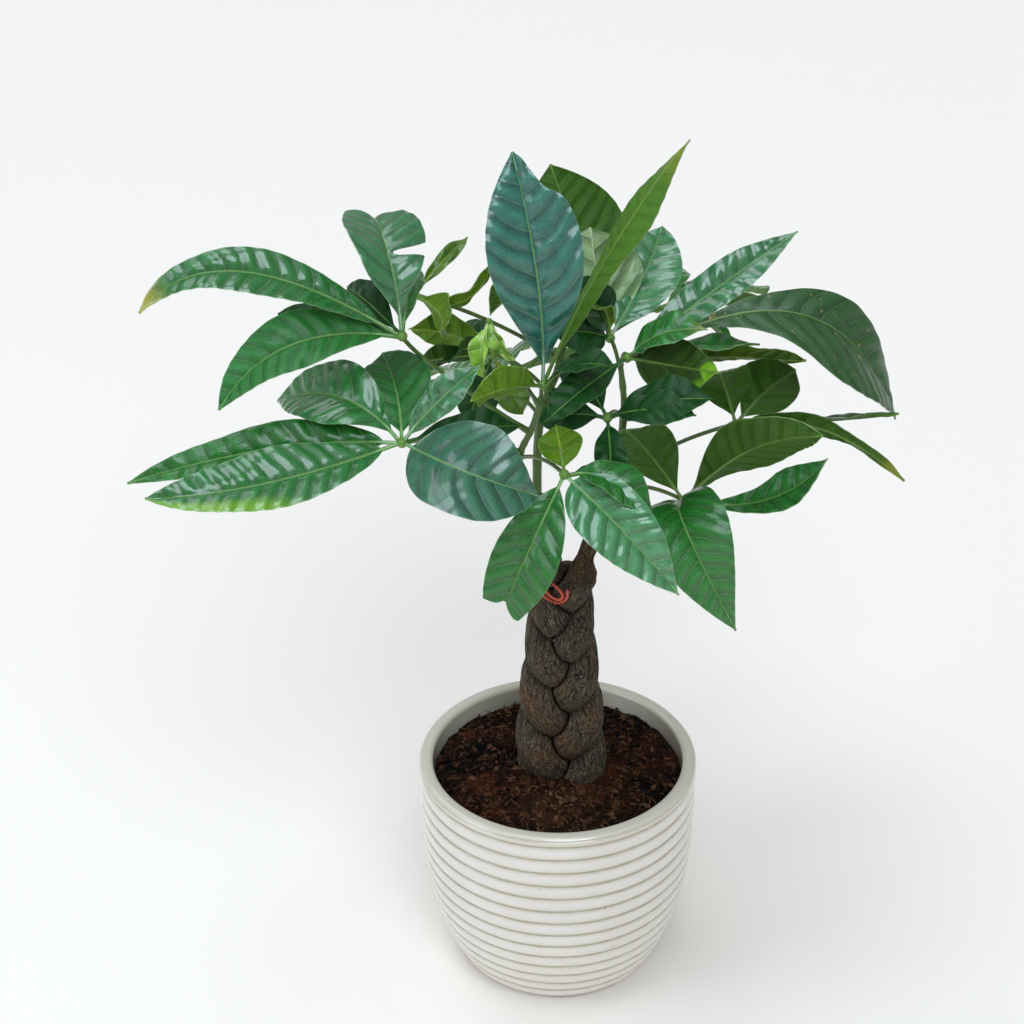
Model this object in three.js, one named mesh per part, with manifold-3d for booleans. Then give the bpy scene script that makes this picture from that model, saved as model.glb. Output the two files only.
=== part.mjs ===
// A potted money tree: three young trunks plaited together, with palmate leaves,
// standing in the soil of a ribbed, glazed pot.
// Millimetres, +Z up. The origin is the middle of the pot's flat underside,
// and the plant's front looks along -Y.

import * as THREE from 'three';
import { mergeVertices } from 'three/addons/utils/BufferGeometryUtils.js';
import Module from 'manifold-3d';

const wasm = await Module();
wasm.setup();

const TAU = 2 * Math.PI;
const CLEARANCE = 0.35;
const TUBE_SIDE = [1, 0.2, 0.1];
const TUBE_STRIDE = 1e-3;

// Pot: a thick glazed wall with rounded ribs, drawn in towards a flat foot
const RIM_HEIGHT = 130;
const RIM_RADIUS = 75;
const FOOT_DRAW_IN = 24;
const FOOT_CURVE = 3.5;
const WALL = 7.5;
const FLOOR = 8;
const RIB_COUNT = 15;
const RIB_SPACING = 8.7;
const RIB_DEPTH = 0.9;
const RIB_SHOULDERS = [0.25, 0.75];
const LIP_BAND = 6;
const LIP_ROUND = 2.2;
const LIP_CORNER = 0.3;
const FOOT_INSET = 3;
const FOOT_EDGE = 2.4;
const FOOT_LIFT = 1.6;
const CORNER_ROUND = 6;
const INNER_CORNER = FLOOR + CORNER_ROUND;
const INNER_HEIGHTS = [90, 55, 30, INNER_CORNER];
const POT_SIDES = 24;

// Soil: a coarse bed just under the rim
const SOIL_LEVEL = 121;
const SOIL_RELIEF = 1.6;
const SOIL_MOUND = 3;
const SOIL_EDGE_DROP = 2;
const SOIL_SIDE_GAP = 0.7;
const SOIL_SIDES = 24;
const SOIL_RINGS = [0.93, 0.78, 0.62, 0.46, 0.28];
const LUMPS_ROUND = 2.3;
const LUMPS_OUT = 9;
const DIPS_ROUND = 1.7;
const DIPS_OUT = 4;

// Plait: each trunk swings across and through the plait as it climbs
const PLAIT_PITCH = 92;
const PLAIT_PHASE_HEIGHT = 242;
const PLAIT_PHASE = 45;
const TRUNK_FOOT = 98;
const TRUNK_BOTTOM = 125;
const TRUNK_SPLIT = 243;
const TRUNK_THINNING = 11;
const SWING_BOTTOM = 13.7;
const SWING_TOP = 6.8;
const DEPTH_SWING = 7;
const TRUNK_RADIUS_BOTTOM = 11.6;
const TRUNK_RADIUS_SPLIT = 10.6;
const TRUNK_RADIUS_TOP = 4.8;
const TRUNK_SIDES = 8;
const TRUNK_SLICES = 27;
const TRUNK_LINE_STEPS = 100;
const TRUNK_STEP = 0.6;
const TRUNK_HALVINGS = 6;
const PLAIT_OFFSET = 1.5;
const PLAIT_GAP = 0.7;
const HOLE_SPARE = 0.6;
const TRUNKS = [
  { name: 'trunk_middle', phase: 240, parting: 232, top: [-11, 12, 284] },
  { name: 'trunk_left', phase: 120, parting: 240, top: [-17, -1, 294] },
  { name: 'trunk_right', phase: 0, parting: 236, top: [26, 4, 284] },
];

// Wire tie: thin coated wire round the middle trunk, with its ends curled over each other
const WIRE_RADIUS = 0.8;
const WIRE_LIFT = 0.6;
const WIRE_HEIGHT = 241;
const WIRE_CLIMB = 3;
const WIRE_TURN = [-120, -440];
const WIRE_TURN_STEPS = 9;
const WIRE_STEPS = 48;
const WIRE_SIDES = 5;
const WIRE_LEFT_END = [
  [5, -17, 246], [4.5, -17.5, 241], [1.5, -15, 237], [-2, -13.5, 236], [-6, -13, 238.5],
];
const WIRE_RIGHT_END = [
  [-2, -12.5, 246], [0.5, -16, 245.5], [2.5, -17, 242.5], [1.5, -17, 240], [-1.5, -16, 239.7],
  [-4.5, -15, 241.5], [-6.5, -13.5, 243.5],
];

// Leaves
const BLADE_THICKNESS = 0.8;
const STALK_HALF_WIDTH = 0.9;
const STALK_THICKNESS = 1.8;
const STALK_SHARE = 0.06;
const STALK_END = 0.2;
const TIP_HALF_WIDTH = 0.5;
const BELLY = 0.56;
const FOLD = 12;
const RISE = 6;
const RIPPLE = 1.2;
const RIPPLE_COUNT = 2.2;
const RIPPLE_SHIFT = 1.7;
const RIPPLE_START = 0.3;
const PETIOLE_RADIUS = 1.3;
const PETIOLE_BOW = [0, 0, 8];
const PETIOLE_STEPS = 5;
const PETIOLE_SIDES = 5;
const HUB_RADIUS = 2.6;
const HUB_SOCKET = 1.5;
const BLADE_STATIONS = [0, 0.12, 0.34, 0.56, 0.8, 1];

const FINISHES = {
  glaze: { color: 0xe9e4d8, roughness: 0.25 },
  soil: { color: 0x33231b, roughness: 0.95 },
  bark: { color: 0x4a4038, roughness: 0.9 },
  wire: { color: 0xb8452f, roughness: 0.4 },
  shoot: { color: 0x55702a, roughness: 0.6 },
  deep: { color: 0x2c6a3a, roughness: 0.35 },
  dark: { color: 0x1d4a24, roughness: 0.35 },
  bluish: { color: 0x2e6a55, roughness: 0.35 },
  lime: { color: 0x7da62a, roughness: 0.35 },
};

const vec = (p) => new THREE.Vector3(...p);
const mix = (a, b, t) => a + (b - a) * t;
const smooth = (t) => {
  const s = Math.min(Math.max(t, 0), 1);
  return s * s * (3 - 2 * s);
};

// Solids

function indexed(points, faces) {
  const geometry = new THREE.BufferGeometry();
  const flat = points.flatMap((p) => p.toArray());
  geometry.setAttribute('position', new THREE.Float32BufferAttribute(flat, 3));
  geometry.setIndex(faces.flat());
  return geometry;
}

function solid(geometry) {
  const bare = geometry.clone();
  bare.deleteAttribute('normal');
  bare.deleteAttribute('uv');
  const merged = mergeVertices(bare, 1e-4);
  const index = merged.index.array;
  const kept = [];
  for (let i = 0; i < index.length; i += 3) {
    const [a, b, c] = index.slice(i, i + 3);
    if (a !== b && b !== c && c !== a) kept.push(a, b, c);
  }
  return new wasm.Manifold(new wasm.Mesh({
    numProp: 3,
    vertProperties: merged.attributes.position.array,
    triVerts: Uint32Array.from(kept),
  }));
}

function toGeometry(body) {
  const mesh = body.getMesh();
  const geometry = new THREE.BufferGeometry();
  geometry.setAttribute('position', new THREE.Float32BufferAttribute(mesh.vertProperties, 3));
  geometry.setIndex([...mesh.triVerts]);
  geometry.computeVertexNormals();
  return geometry;
}

function part(name, body, finish) {
  const material = new THREE.MeshStandardMaterial({ ...finish, metalness: 0 });
  const mesh = new THREE.Mesh(toGeometry(body), material);
  mesh.name = name;
  return mesh;
}

// The largest piece of a solid that a cut has left in several
function mainPiece(body) {
  const pieces = body.decompose();
  return pieces.reduce((best, piece) => (piece.volume() > best.volume() ? piece : best));
}

// A closed skin over rings of points, all with the same number of points,
// closed by a point at each end
function skin(rings, start, end) {
  const sides = rings[0].length;
  const points = rings.flat();
  const faces = [];
  const first = points.push(start) - 1;
  const last = points.push(end) - 1;
  const lastRing = (rings.length - 1) * sides;
  for (let k = 0; k < sides; k++) {
    const next = (k + 1) % sides;
    for (let i = 0; i < rings.length - 1; i++) {
      const a = i * sides + k;
      const b = i * sides + next;
      faces.push([a, b, b + sides], [a, b + sides, a + sides]);
    }
    faces.push([first, next, k], [last, lastRing + k, lastRing + next]);
  }
  return solid(indexed(points, faces));
}

// A closed round tube along a path, with a radius that may change on the way
function tube(path, radius, steps, sides) {
  const rings = [];
  let side = vec(TUBE_SIDE);
  for (let i = 0; i <= steps; i++) {
    const t = i / steps;
    const centre = path(t);
    const next = path(Math.min(t + TUBE_STRIDE, 1));
    const ahead = next.sub(path(Math.max(t - TUBE_STRIDE, 0))).normalize();
    side = side.clone().addScaledVector(ahead, -side.dot(ahead)).normalize();
    const other = new THREE.Vector3().crossVectors(ahead, side);
    rings.push(Array.from({ length: sides }, (_, k) => {
      const angle = (TAU * k) / sides;
      return centre.clone()
        .addScaledVector(side, radius(t) * Math.cos(angle))
        .addScaledVector(other, radius(t) * Math.sin(angle));
    }));
  }
  return skin(rings, path(0), path(1));
}

// Pot

function potRadius(z) {
  return RIM_RADIUS - RIB_DEPTH - FOOT_DRAW_IN * ((RIM_HEIGHT - z) / RIM_HEIGHT) ** FOOT_CURVE;
}

// Heights of the grooves, spaced evenly along the curved wall
function grooveHeights() {
  const heights = [RIM_HEIGHT - LIP_BAND];
  while (heights.length < RIB_COUNT) {
    const z = heights.at(-1);
    const lean = potRadius(z) - potRadius(z - 1);
    heights.push(z - RIB_SPACING / Math.hypot(1, lean));
  }
  return heights;
}

function potProfile() {
  const profile = [];
  const add = (r, z) => profile.push(new THREE.Vector2(r, z));
  const heights = grooveHeights();
  const footRadius = potRadius(0) - FOOT_INSET;
  add(0, 0);
  add(footRadius, 0);
  add(footRadius + FOOT_EDGE, FOOT_LIFT);
  for (let i = heights.length - 1; i >= 0; i--) {
    const z = heights[i];
    const top = i > 0 ? heights[i - 1] : RIM_HEIGHT - LIP_ROUND;
    add(potRadius(z), z);
    for (const share of RIB_SHOULDERS) {
      const height = mix(z, top, share);
      add(potRadius(height) + RIB_DEPTH, height);
    }
  }
  const inner = RIM_RADIUS - WALL;
  add(RIM_RADIUS, RIM_HEIGHT - LIP_ROUND);
  add(RIM_RADIUS - LIP_ROUND * LIP_CORNER, RIM_HEIGHT - LIP_ROUND * LIP_CORNER);
  add(RIM_RADIUS - LIP_ROUND, RIM_HEIGHT);
  add(inner + LIP_ROUND, RIM_HEIGHT);
  add(inner + LIP_ROUND * LIP_CORNER, RIM_HEIGHT - LIP_ROUND * LIP_CORNER);
  add(inner, RIM_HEIGHT - LIP_ROUND);
  for (const z of INNER_HEIGHTS) add(innerRadius(z), z);
  add(innerRadius(INNER_CORNER) - CORNER_ROUND, FLOOR);
  add(0, FLOOR);
  return profile;
}

function innerRadius(z) {
  return potRadius(z) + RIB_DEPTH - WALL;
}

function potBody() {
  const turned = new THREE.LatheGeometry(potProfile(), POT_SIDES);
  turned.rotateX(Math.PI / 2);
  return solid(turned);
}

// Trunks

function trunkCentre(trunk, z) {
  const [topX, topY, topZ] = trunk.top;
  const angle = THREE.MathUtils.degToRad(PLAIT_PHASE + trunk.phase)
    + (TAU * (z - PLAIT_PHASE_HEIGHT)) / PLAIT_PITCH;
  const climb = smooth((z - TRUNK_BOTTOM) / (TRUNK_SPLIT - TRUNK_BOTTOM));
  const swing = mix(SWING_BOTTOM, SWING_TOP, climb);
  const parted = smooth((z - trunk.parting) / (topZ - trunk.parting));
  return new THREE.Vector3(
    mix(PLAIT_OFFSET + swing * Math.sin(angle), topX, parted),
    mix(-DEPTH_SWING * Math.sin(2 * angle), topY, parted),
    z,
  );
}

function trunkRadius(z) {
  if (z > TRUNK_SPLIT) {
    return mix(TRUNK_RADIUS_SPLIT, TRUNK_RADIUS_TOP, smooth((z - TRUNK_SPLIT) / TRUNK_THINNING));
  }
  const climb = smooth((z - TRUNK_BOTTOM) / (TRUNK_SPLIT - TRUNK_BOTTOM));
  return mix(TRUNK_RADIUS_BOTTOM, TRUNK_RADIUS_SPLIT, climb);
}

function trunkLine(trunk) {
  return Array.from({ length: TRUNK_LINE_STEPS + 1 }, (_, i) => (
    trunkCentre(trunk, mix(TRUNK_FOOT, trunk.top[2], i / TRUNK_LINE_STEPS))
  ));
}

function distanceTo(line, point) {
  const segment = new THREE.Line3();
  const foot = new THREE.Vector3();
  return Math.min(...line.slice(1).map((end, i) => {
    segment.set(line[i], end).closestPointToPoint(point, true, foot);
    return foot.distanceTo(point);
  }));
}

// How far a trunk reaches from a point inside it in a level direction. It is round on its
// free side and flat against the trunks that press on it.
function trunkReach(trunk, centre, angle, spare) {
  const own = trunkLine(trunk);
  const others = TRUNKS.filter((other) => other !== trunk).map(trunkLine);
  const out = new THREE.Vector3(Math.cos(angle), Math.sin(angle), 0);
  const inside = (radius) => {
    const point = centre.clone().addScaledVector(out, radius);
    const reach = distanceTo(own, point);
    return reach < trunkRadius(point.z) + spare
      && others.every((line) => distanceTo(line, point) - reach > PLAIT_GAP - 2 * spare);
  };
  let low = TRUNK_STEP;
  while (inside(low + TRUNK_STEP)) low += TRUNK_STEP;
  let high = low + TRUNK_STEP;
  for (let halving = 0; halving < TRUNK_HALVINGS; halving++) {
    const middle = (low + high) / 2;
    if (inside(middle)) low = middle;
    else high = middle;
  }
  return centre.clone().addScaledVector(out, low);
}

// A trunk in level slices. With spare it is the room that the trunk needs.
function trunkSkin(trunk, spare = 0) {
  const rings = [];
  for (let i = 0; i <= TRUNK_SLICES; i++) {
    const centre = trunkCentre(trunk, mix(TRUNK_FOOT, trunk.top[2], i / TRUNK_SLICES));
    rings.push(Array.from({ length: TRUNK_SIDES }, (_, k) => (
      trunkReach(trunk, centre, (TAU * k) / TRUNK_SIDES, spare)
    )));
  }
  const foot = trunkCentre(trunk, TRUNK_FOOT).setZ(TRUNK_FOOT - spare);
  if (spare > 0) rings.unshift(rings[0].map((point) => point.clone().setZ(foot.z)));
  return skin(rings, foot, trunkCentre(trunk, trunk.top[2]));
}

// Where slices would run into each other, the earlier trunk keeps its shape
function trunkBodies() {
  const rooms = TRUNKS.map((trunk) => trunkSkin(trunk, CLEARANCE));
  const wire = wireBody(WIRE_RADIUS + CLEARANCE);
  return TRUNKS.map((trunk, k) => mainPiece(
    rooms.slice(0, k).reduce((body, room) => body.subtract(room), trunkSkin(trunk)).subtract(wire),
  ));
}

// Wire: a turn round the middle trunk at a steady climb, between its two curled ends
function wireBody(radius) {
  const trunk = TRUNKS[0];
  const turn = Array.from({ length: WIRE_TURN_STEPS + 1 }, (_, k) => {
    const t = k / WIRE_TURN_STEPS;
    const centre = trunkCentre(trunk, WIRE_HEIGHT + WIRE_CLIMB * t);
    const angle = THREE.MathUtils.degToRad(mix(...WIRE_TURN, t));
    const lift = new THREE.Vector3(Math.cos(angle), Math.sin(angle), 0).multiplyScalar(WIRE_LIFT);
    return trunkReach(trunk, centre, angle, 0).add(lift);
  });
  const points = [...WIRE_LEFT_END.map(vec), ...turn, ...WIRE_RIGHT_END.map(vec)];
  const curve = new THREE.CatmullRomCurve3(points, false, 'centripetal');
  return tube((t) => curve.getPoint(t), () => radius, WIRE_STEPS, WIRE_SIDES);
}

// Soil

function soilBody() {
  const rings = [];
  const ring = (radius, height) => rings.push(Array.from({ length: SOIL_SIDES }, (_, k) => {
    const angle = (TAU * k) / SOIL_SIDES;
    return new THREE.Vector3(radius * Math.cos(angle), radius * Math.sin(angle), height(k));
  }));
  ring(innerRadius(INNER_CORNER) - CORNER_ROUND - CLEARANCE, () => FLOOR + CLEARANCE);
  for (const z of INNER_HEIGHTS.toReversed()) ring(innerRadius(z) - SOIL_SIDE_GAP, () => z);
  const edge = innerRadius(SOIL_LEVEL) - SOIL_SIDE_GAP;
  ring(edge, () => SOIL_LEVEL - SOIL_EDGE_DROP);
  for (const share of SOIL_RINGS) {
    ring(edge * share, (k) => SOIL_LEVEL + SOIL_MOUND * (1 - share)
      + SOIL_RELIEF * Math.sin(LUMPS_ROUND * k + LUMPS_OUT * share)
      * Math.cos((DIPS_ROUND * k + DIPS_OUT) * share));
  }
  const bed = skin(
    rings,
    new THREE.Vector3(0, 0, FLOOR + CLEARANCE),
    new THREE.Vector3(0, 0, SOIL_LEVEL + SOIL_MOUND),
  );
  return mainPiece(TRUNKS.reduce((rest, trunk) => rest.subtract(trunkSkin(trunk, HOLE_SPARE)), bed));
}

// Shoots: the green stems that carry the leaves, each on the top of its trunk

const SHOOT_STEPS = 6;
const SHOOT_SIDES = 6;
const SHOOTS = {
  leader: {
    trunk: 1, radius: [2.3, 1.4],
    points: [[-17, -1, 290], [-19.6, -5, 316], [-13, -10, 336], [-8.4, -13.5, 354]],
  },
  back: {
    trunk: 0, radius: [2.8, 1.5],
    points: [[-11, 12, 280], [-9, 19, 325], [0, 29, 350], [6, 40, 372]],
  },
  right: {
    trunk: 2, radius: [2.8, 1.5],
    points: [[26, 4, 280], [30, 3, 310], [33, 6, 338], [31, 8, 362]],
  },
};

function shootBody(shoot, extra = 0) {
  const curve = new THREE.CatmullRomCurve3(shoot.points.map(vec));
  const end = curve.getPoint(1).addScaledVector(curve.getTangent(1), extra);
  const path = (t) => (t < 1 ? curve.getPoint(t) : end.clone());
  return tube(path, (t) => mix(...shoot.radius, t) + extra, SHOOT_STEPS, SHOOT_SIDES);
}

// Leaflets

// Half the width of a leaflet, as a share of its widest, from its stalk to its tip.
// The belly is where it is widest.
function bladeShare(t, belly) {
  const s = Math.min(Math.max((t - STALK_SHARE) / (1 - STALK_SHARE), 0), 1);
  const power = belly / (1 - belly);
  return (s ** power * (1 - s)) / (belly ** power * (1 - belly));
}

// The midrib runs from the hub through the middle to the tip. The upper side looks
// towards face, turned by roll degrees about the line from hub to tip.
function leafletFrame(hub, leaflet) {
  const tip = vec(leaflet.tip);
  const chord = tip.clone().sub(vec(hub)).normalize();
  const start = vec(hub).addScaledVector(chord, HUB_SOCKET);
  const up = vec(leaflet.face);
  up.addScaledVector(chord, -up.dot(chord)).normalize();
  up.applyAxisAngle(chord, THREE.MathUtils.degToRad(leaflet.roll ?? 0));
  const middle = leaflet.mid
    ? vec(leaflet.mid)
    : start.clone().lerp(tip, 0.5).addScaledVector(up, leaflet.rise ?? RISE);
  const control = middle.multiplyScalar(2).addScaledVector(start, -0.5).addScaledVector(tip, -0.5);
  const curve = new THREE.QuadraticBezierCurve3(start, control, tip);
  const right = new THREE.Vector3().crossVectors(chord, up);
  return (t) => {
    const ahead = curve.getTangent(t);
    const across = right.clone().addScaledVector(ahead, -right.dot(ahead)).normalize();
    return { point: curve.getPoint(t), ahead, across, up: new THREE.Vector3().crossVectors(across, ahead) };
  };
}

function leafletBody(hub, leaflet) {
  const frame = leafletFrame(hub, leaflet);
  const cut = leaflet.cut ?? 1;
  const fold = Math.tan(THREE.MathUtils.degToRad(leaflet.fold ?? FOLD));
  const points = [];
  for (const t of BLADE_STATIONS) {
    const { point, across, up } = frame(t);
    const least = t < STALK_END ? STALK_HALF_WIDTH : TIP_HALF_WIDTH;
    const half = Math.max((leaflet.width / 2) * bladeShare(t * cut, leaflet.belly ?? BELLY), least);
    const thick = mix(STALK_THICKNESS, BLADE_THICKNESS, smooth(t / STALK_END)) / 2;
    const row = [-1, 0, 1].map((side) => {
      const reach = half * (1 + side * (leaflet.lean ?? 0));
      const ripple = RIPPLE * Math.sin(TAU * RIPPLE_COUNT * t + RIPPLE_SHIFT * side)
        * Math.abs(side) * smooth(t / RIPPLE_START);
      const lift = Math.abs(side) * reach * fold + ripple;
      return point.clone().addScaledVector(across, side * reach).addScaledVector(up, lift);
    });
    points.push(...row.map((p) => p.clone().addScaledVector(up, thick)));
    points.push(...row.map((p) => p.clone().addScaledVector(up, -thick)));
  }
  const faces = [];
  const quad = (a, b, c, d) => faces.push([a, b, c], [a, c, d]);
  const last = BLADE_STATIONS.length - 1;
  for (let i = 0; i < last; i++) {
    const a = 6 * i;
    const b = a + 6;
    quad(a, a + 1, b + 1, b);
    quad(a + 1, a + 2, b + 2, b + 1);
    faces.push([a + 3, b + 4, a + 4], [a + 3, b + 3, b + 4]);
    faces.push([a + 4, b + 5, a + 5], [a + 4, b + 4, b + 5]);
    quad(a + 5, b + 5, b + 2, a + 2);
    quad(b + 3, a + 3, a, b);
  }
  const e = 6 * last;
  quad(3, 4, 1, 0);
  quad(4, 5, 2, 1);
  quad(e + 4, e + 3, e, e + 1);
  quad(e + 5, e + 4, e + 1, e + 2);
  return solid(indexed(points, faces));
}

function hubBody(leaf) {
  const knob = new THREE.IcosahedronGeometry(leaf.knob ?? HUB_RADIUS, 0);
  knob.translate(...leaf.hub);
  return solid(knob);
}

// A petiole leaves its shoot at a height, bows and ends in the hub
function petioleBody(leaf) {
  const shoot = SHOOTS[leaf.shoot];
  const root = new THREE.CatmullRomCurve3(shoot.points.map(vec)).getPoint(leaf.at);
  const hub = vec(leaf.hub);
  const bow = root.clone().lerp(hub, 0.5).add(vec(leaf.bow ?? PETIOLE_BOW));
  const curve = new THREE.QuadraticBezierCurve3(root, bow, hub);
  return tube((t) => curve.getPoint(t), () => PETIOLE_RADIUS, PETIOLE_STEPS, PETIOLE_SIDES);
}

// Leaves: hub, leaflet tips and middles in millimetres, read as a grower would place them

const LEAVES = [
  {
    name: 'leaf_upper_left', shoot: 'leader', at: 0.62, finish: 'deep', hub: [-74, -35, 399],
    bow: [-26, 4, 13],
    face: [-0.15, -0.6, 0.78],
    leaflets: [
      { mid: [-78, -33, 434], tip: [-88, 4, 443], width: 39, cut: 0.82, belly: 0.6, roll: 32 },
      { mid: [-147, -45, 437], tip: [-195, -50, 418], width: 23, belly: 0.4 },
      { mid: [-125, -53, 403], tip: [-159, -65, 375], width: 30, belly: 0.46 },
      { tip: [-103, 8, 404], width: 20 },
      { tip: [-68, 8, 412], width: 13 },
      { tip: [-136, -5, 396], width: 16, rise: 4 },
    ],
  },
  {
    name: 'leaf_left', shoot: 'leader', at: 0.4, finish: 'deep', hub: [-74, -60, 355],
    face: [-0.1, -0.55, 0.83],
    leaflets: [
      { mid: [-135, -90, 350], tip: [-191, -100, 347], width: 32, belly: 0.44 },
      { mid: [-137, -63, 353], tip: [-205, -68, 337], width: 25, belly: 0.42 },
      { mid: [-103, -48, 373], tip: [-137, -20, 356], width: 36 },
      { mid: [-77, -43, 373], tip: [-86, -8, 376], width: 37 },
      { mid: [-57, -66, 379], tip: [-36, -62, 397], width: 17, roll: 10 },
      { mid: [-41, -98, 360], tip: [-9, -95, 346], width: 49, belly: 0.46 },
      { mid: [-44, -50, 357], tip: [-18, -38, 352], width: 18, rise: 2 },
    ],
  },
  {
    name: 'leaf_top', shoot: 'leader', at: 1, finish: 'bluish', hub: [-7.4, -15, 362.5],
    face: [0, -0.85, 0.5],
    leaflets: [
      { mid: [-10, -10, 417], tip: [-22, 10, 474], width: 47, roll: 8, belly: 0.6 },
      { mid: [24, 5, 422], tip: [62, 10, 480], width: 23, belly: 0.6, face: [0.7, 0.35, -0.6] },
      { mid: [-25, -52, 380], tip: [-41, -66, 380], width: 27, face: [-0.3, 0.8, 0.3] },
      { tip: [27, -42, 386], width: 20, face: [0.2, -0.3, 0.9] },
      { tip: [6, -20, 349], width: 12, face: [0.3, -0.6, 0.7], rise: 2 },
    ],
  },
  {
    name: 'leaf_young', shoot: 'leader', at: 0.93, finish: 'lime', hub: [-33, -24, 401.6],
    knob: 1.5,
    bow: [-4.8, -6, 8],
    face: [-0.5, -0.8, 0.3],
    leaflets: [
      { tip: [-36, -34, 377], width: 10, rise: 4, fold: 35, belly: 0.5 },
      { tip: [-21, -32, 385], width: 7, rise: 3, fold: 40, belly: 0.4 },
    ],
  },
  {
    name: 'leaf_front', shoot: 'leader', at: 0.34, finish: 'deep', hub: [3, -55, 335],
    face: [0.1, -0.8, 0.6],
    leaflets: [
      { mid: [-12, -78, 311], tip: [-27, -82, 274], width: 32, cut: 0.84, belly: 0.5 },
      { mid: [30, -76, 317], tip: [58, -82, 284], width: 34, belly: 0.37 },
      { mid: [26, -62, 336], tip: [46, -66, 317], width: 22, face: [0.2, -0.4, 0.9] },
      { tip: [26, -42, 318], width: 12, face: [0.2, -0.2, 0.9] },
      { tip: [-1, -42, 355], width: 22, face: [0, 0.9, 0.3], rise: 1 },
    ],
  },
  {
    name: 'leaf_right_low', shoot: 'right', at: 0.16, finish: 'deep', hub: [64, 5, 286],
    face: [0, -0.7, 0.7],
    leaflets: [
      { mid: [62, -44, 300], tip: [89, -50, 243], width: 43, belly: 0.46 },
      { mid: [105, -8, 294], tip: [134, -14, 321], width: 22, belly: 0.64, face: [0.1, -0.5, 0.85] },
      { tip: [33, -32, 347], width: 30, face: [-0.2, 0.9, 0.3] },
      { mid: [94, -20, 329], tip: [127, -44, 350], width: 36, face: [0.1, 0.9, 0.3] },
      { tip: [104, 24, 316], width: 14, face: [0.1, -0.3, 0.9], rise: 2 },
    ],
  },
  {
    name: 'leaf_right', shoot: 'right', at: 0.22, finish: 'dark', hub: [90, 15, 325],
    face: [0.1, 0.4, 0.9],
    leaflets: [
      { mid: [128, 3, 333], tip: [168, -10, 344], width: 14 },
      { mid: [132, -8, 334], tip: [173, -12, 307], width: 12, belly: 0.34, face: [0.1, 0.9, 0.3] },
      { tip: [79, -8, 366], width: 28, face: [0, 0.95, -0.1] },
      { tip: [119, 18, 354], width: 33, face: [-0.2, 0.9, -0.2] },
    ],
  },
  {
    name: 'leaf_upper_right', shoot: 'right', at: 1, finish: 'deep', hub: [34, 0, 370],
    face: [0.2, -0.5, 0.85],
    leaflets: [
      { mid: [118, 6, 391], tip: [170, 15, 328], width: 52, belly: 0.68, lean: 0.3 },
      { mid: [76, 17, 398], tip: [118, 35, 422], width: 21, belly: 0.5, face: [0.1, -0.6, 0.8] },
      { tip: [76, -34, 379], width: 28, face: [-0.2, 0.9, -0.45], rise: 3, belly: 0.37 },
      { mid: [50, -10, 388], tip: [72, -14, 392], width: 22, belly: 0.5, face: [-0.3, -0.3, 0.9] },
      { tip: [99, 2, 376], width: 18, face: [0.1, 0.1, 1], rise: 2 },
      { tip: [126, 36, 350], width: 18, face: [0.1, 0.8, 0.5], rise: 2 },
      { mid: [13, -34, 371], tip: [-5, -50, 362], width: 20, face: [-0.3, -0.6, 0.7] },
    ],
  },
  {
    name: 'leaf_crown', shoot: 'right', at: 0.86, finish: 'deep', hub: [26, 26, 368],
    face: [0, -0.6, 0.7],
    leaflets: [
      { tip: [16, 42, 421], width: 49, belly: 0.5, face: [-0.15, 0.85, -0.45] },
      { mid: [43, 53, 389], tip: [53, 76, 407], width: 37, face: [-0.1, -0.7, 0.6], belly: 0.5 },
      { tip: [-4, 66, 445], width: 52, face: [0, 0.9, -0.3] },
      { tip: [6, 20, 403], width: 24, face: [0.5, -0.6, 0.6] },
      { tip: [17, 4, 395], width: 10, face: [0.4, 0.8, 0.2] },
      { tip: [-2, 12, 378], width: 26, face: [0, -0.7, 0.6] },
    ],
  },
  {
    name: 'leaf_inner_left', shoot: 'back', at: 0.72, finish: 'lime', hub: [-72, 30, 390],
    face: [0, 0.7, 0.6],
    leaflets: [
      { tip: [-46, 55, 410], width: 8, face: [0.3, -0.5, 0.8] },
      { mid: [-48, 20, 391], tip: [-33, 30, 407], width: 11 },
      { tip: [-57, 0, 385], width: 22, face: [-0.2, 0.9, 0.1] },
      { tip: [-107, 52, 381], width: 12, face: [-0.2, 0.3, 0.9] },
    ],
  },
  {
    name: 'leaf_middle_left', shoot: 'back', at: 0.5, finish: 'dark', hub: [-33, 28, 358],
    face: [0, 0.5, 0.85],
    leaflets: [
      { tip: [-75, 30, 371], width: 22, face: [0, 0.9, 0.2] },
      { tip: [-50, 58, 358], width: 17, face: [0, -0.3, 0.9] },
      { tip: [-54, 6, 364], width: 20, face: [-0.3, 0.7, 0.6] },
      { tip: [-73, 0, 366], width: 15, face: [0, 0.9, 0.2], rise: 2 },
      { tip: [-46, 26, 322], width: 22, face: [0, -0.9, 0.2], rise: 2 },
      { tip: [-18, 26, 325], width: 18, face: [0, -0.9, 0.2], rise: 2 },
    ],
  },
  {
    name: 'leaf_middle', shoot: 'right', at: 0.6, finish: 'dark', hub: [24, -25, 350],
    face: [0, -0.5, 0.85],
    leaflets: [
      { tip: [-9, -28, 348], width: 20 },
      { tip: [6, 13, 365], width: 22, face: [0, -0.8, 0.6], rise: 2 },
      { tip: [74, -36, 366], width: 24 },
      { tip: [66, -44, 361], width: 20 },
      { tip: [26, -50, 326], width: 16 },
    ],
  },
  {
    name: 'leaf_back_left', shoot: 'back', at: 0.35, finish: 'deep', hub: [-34, 66, 322],
    face: [-0.3, 0.6, 0.75],
    leaflets: [
      { tip: [-98, 78, 296], width: 32 },
      { tip: [-74, 142, 286], width: 36 },
      { tip: [-16, 160, 296], width: 36 },
      { tip: [22, 116, 308], width: 28 },
      { tip: [-82, 34, 314], width: 22 },
    ],
  },
  {
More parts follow.
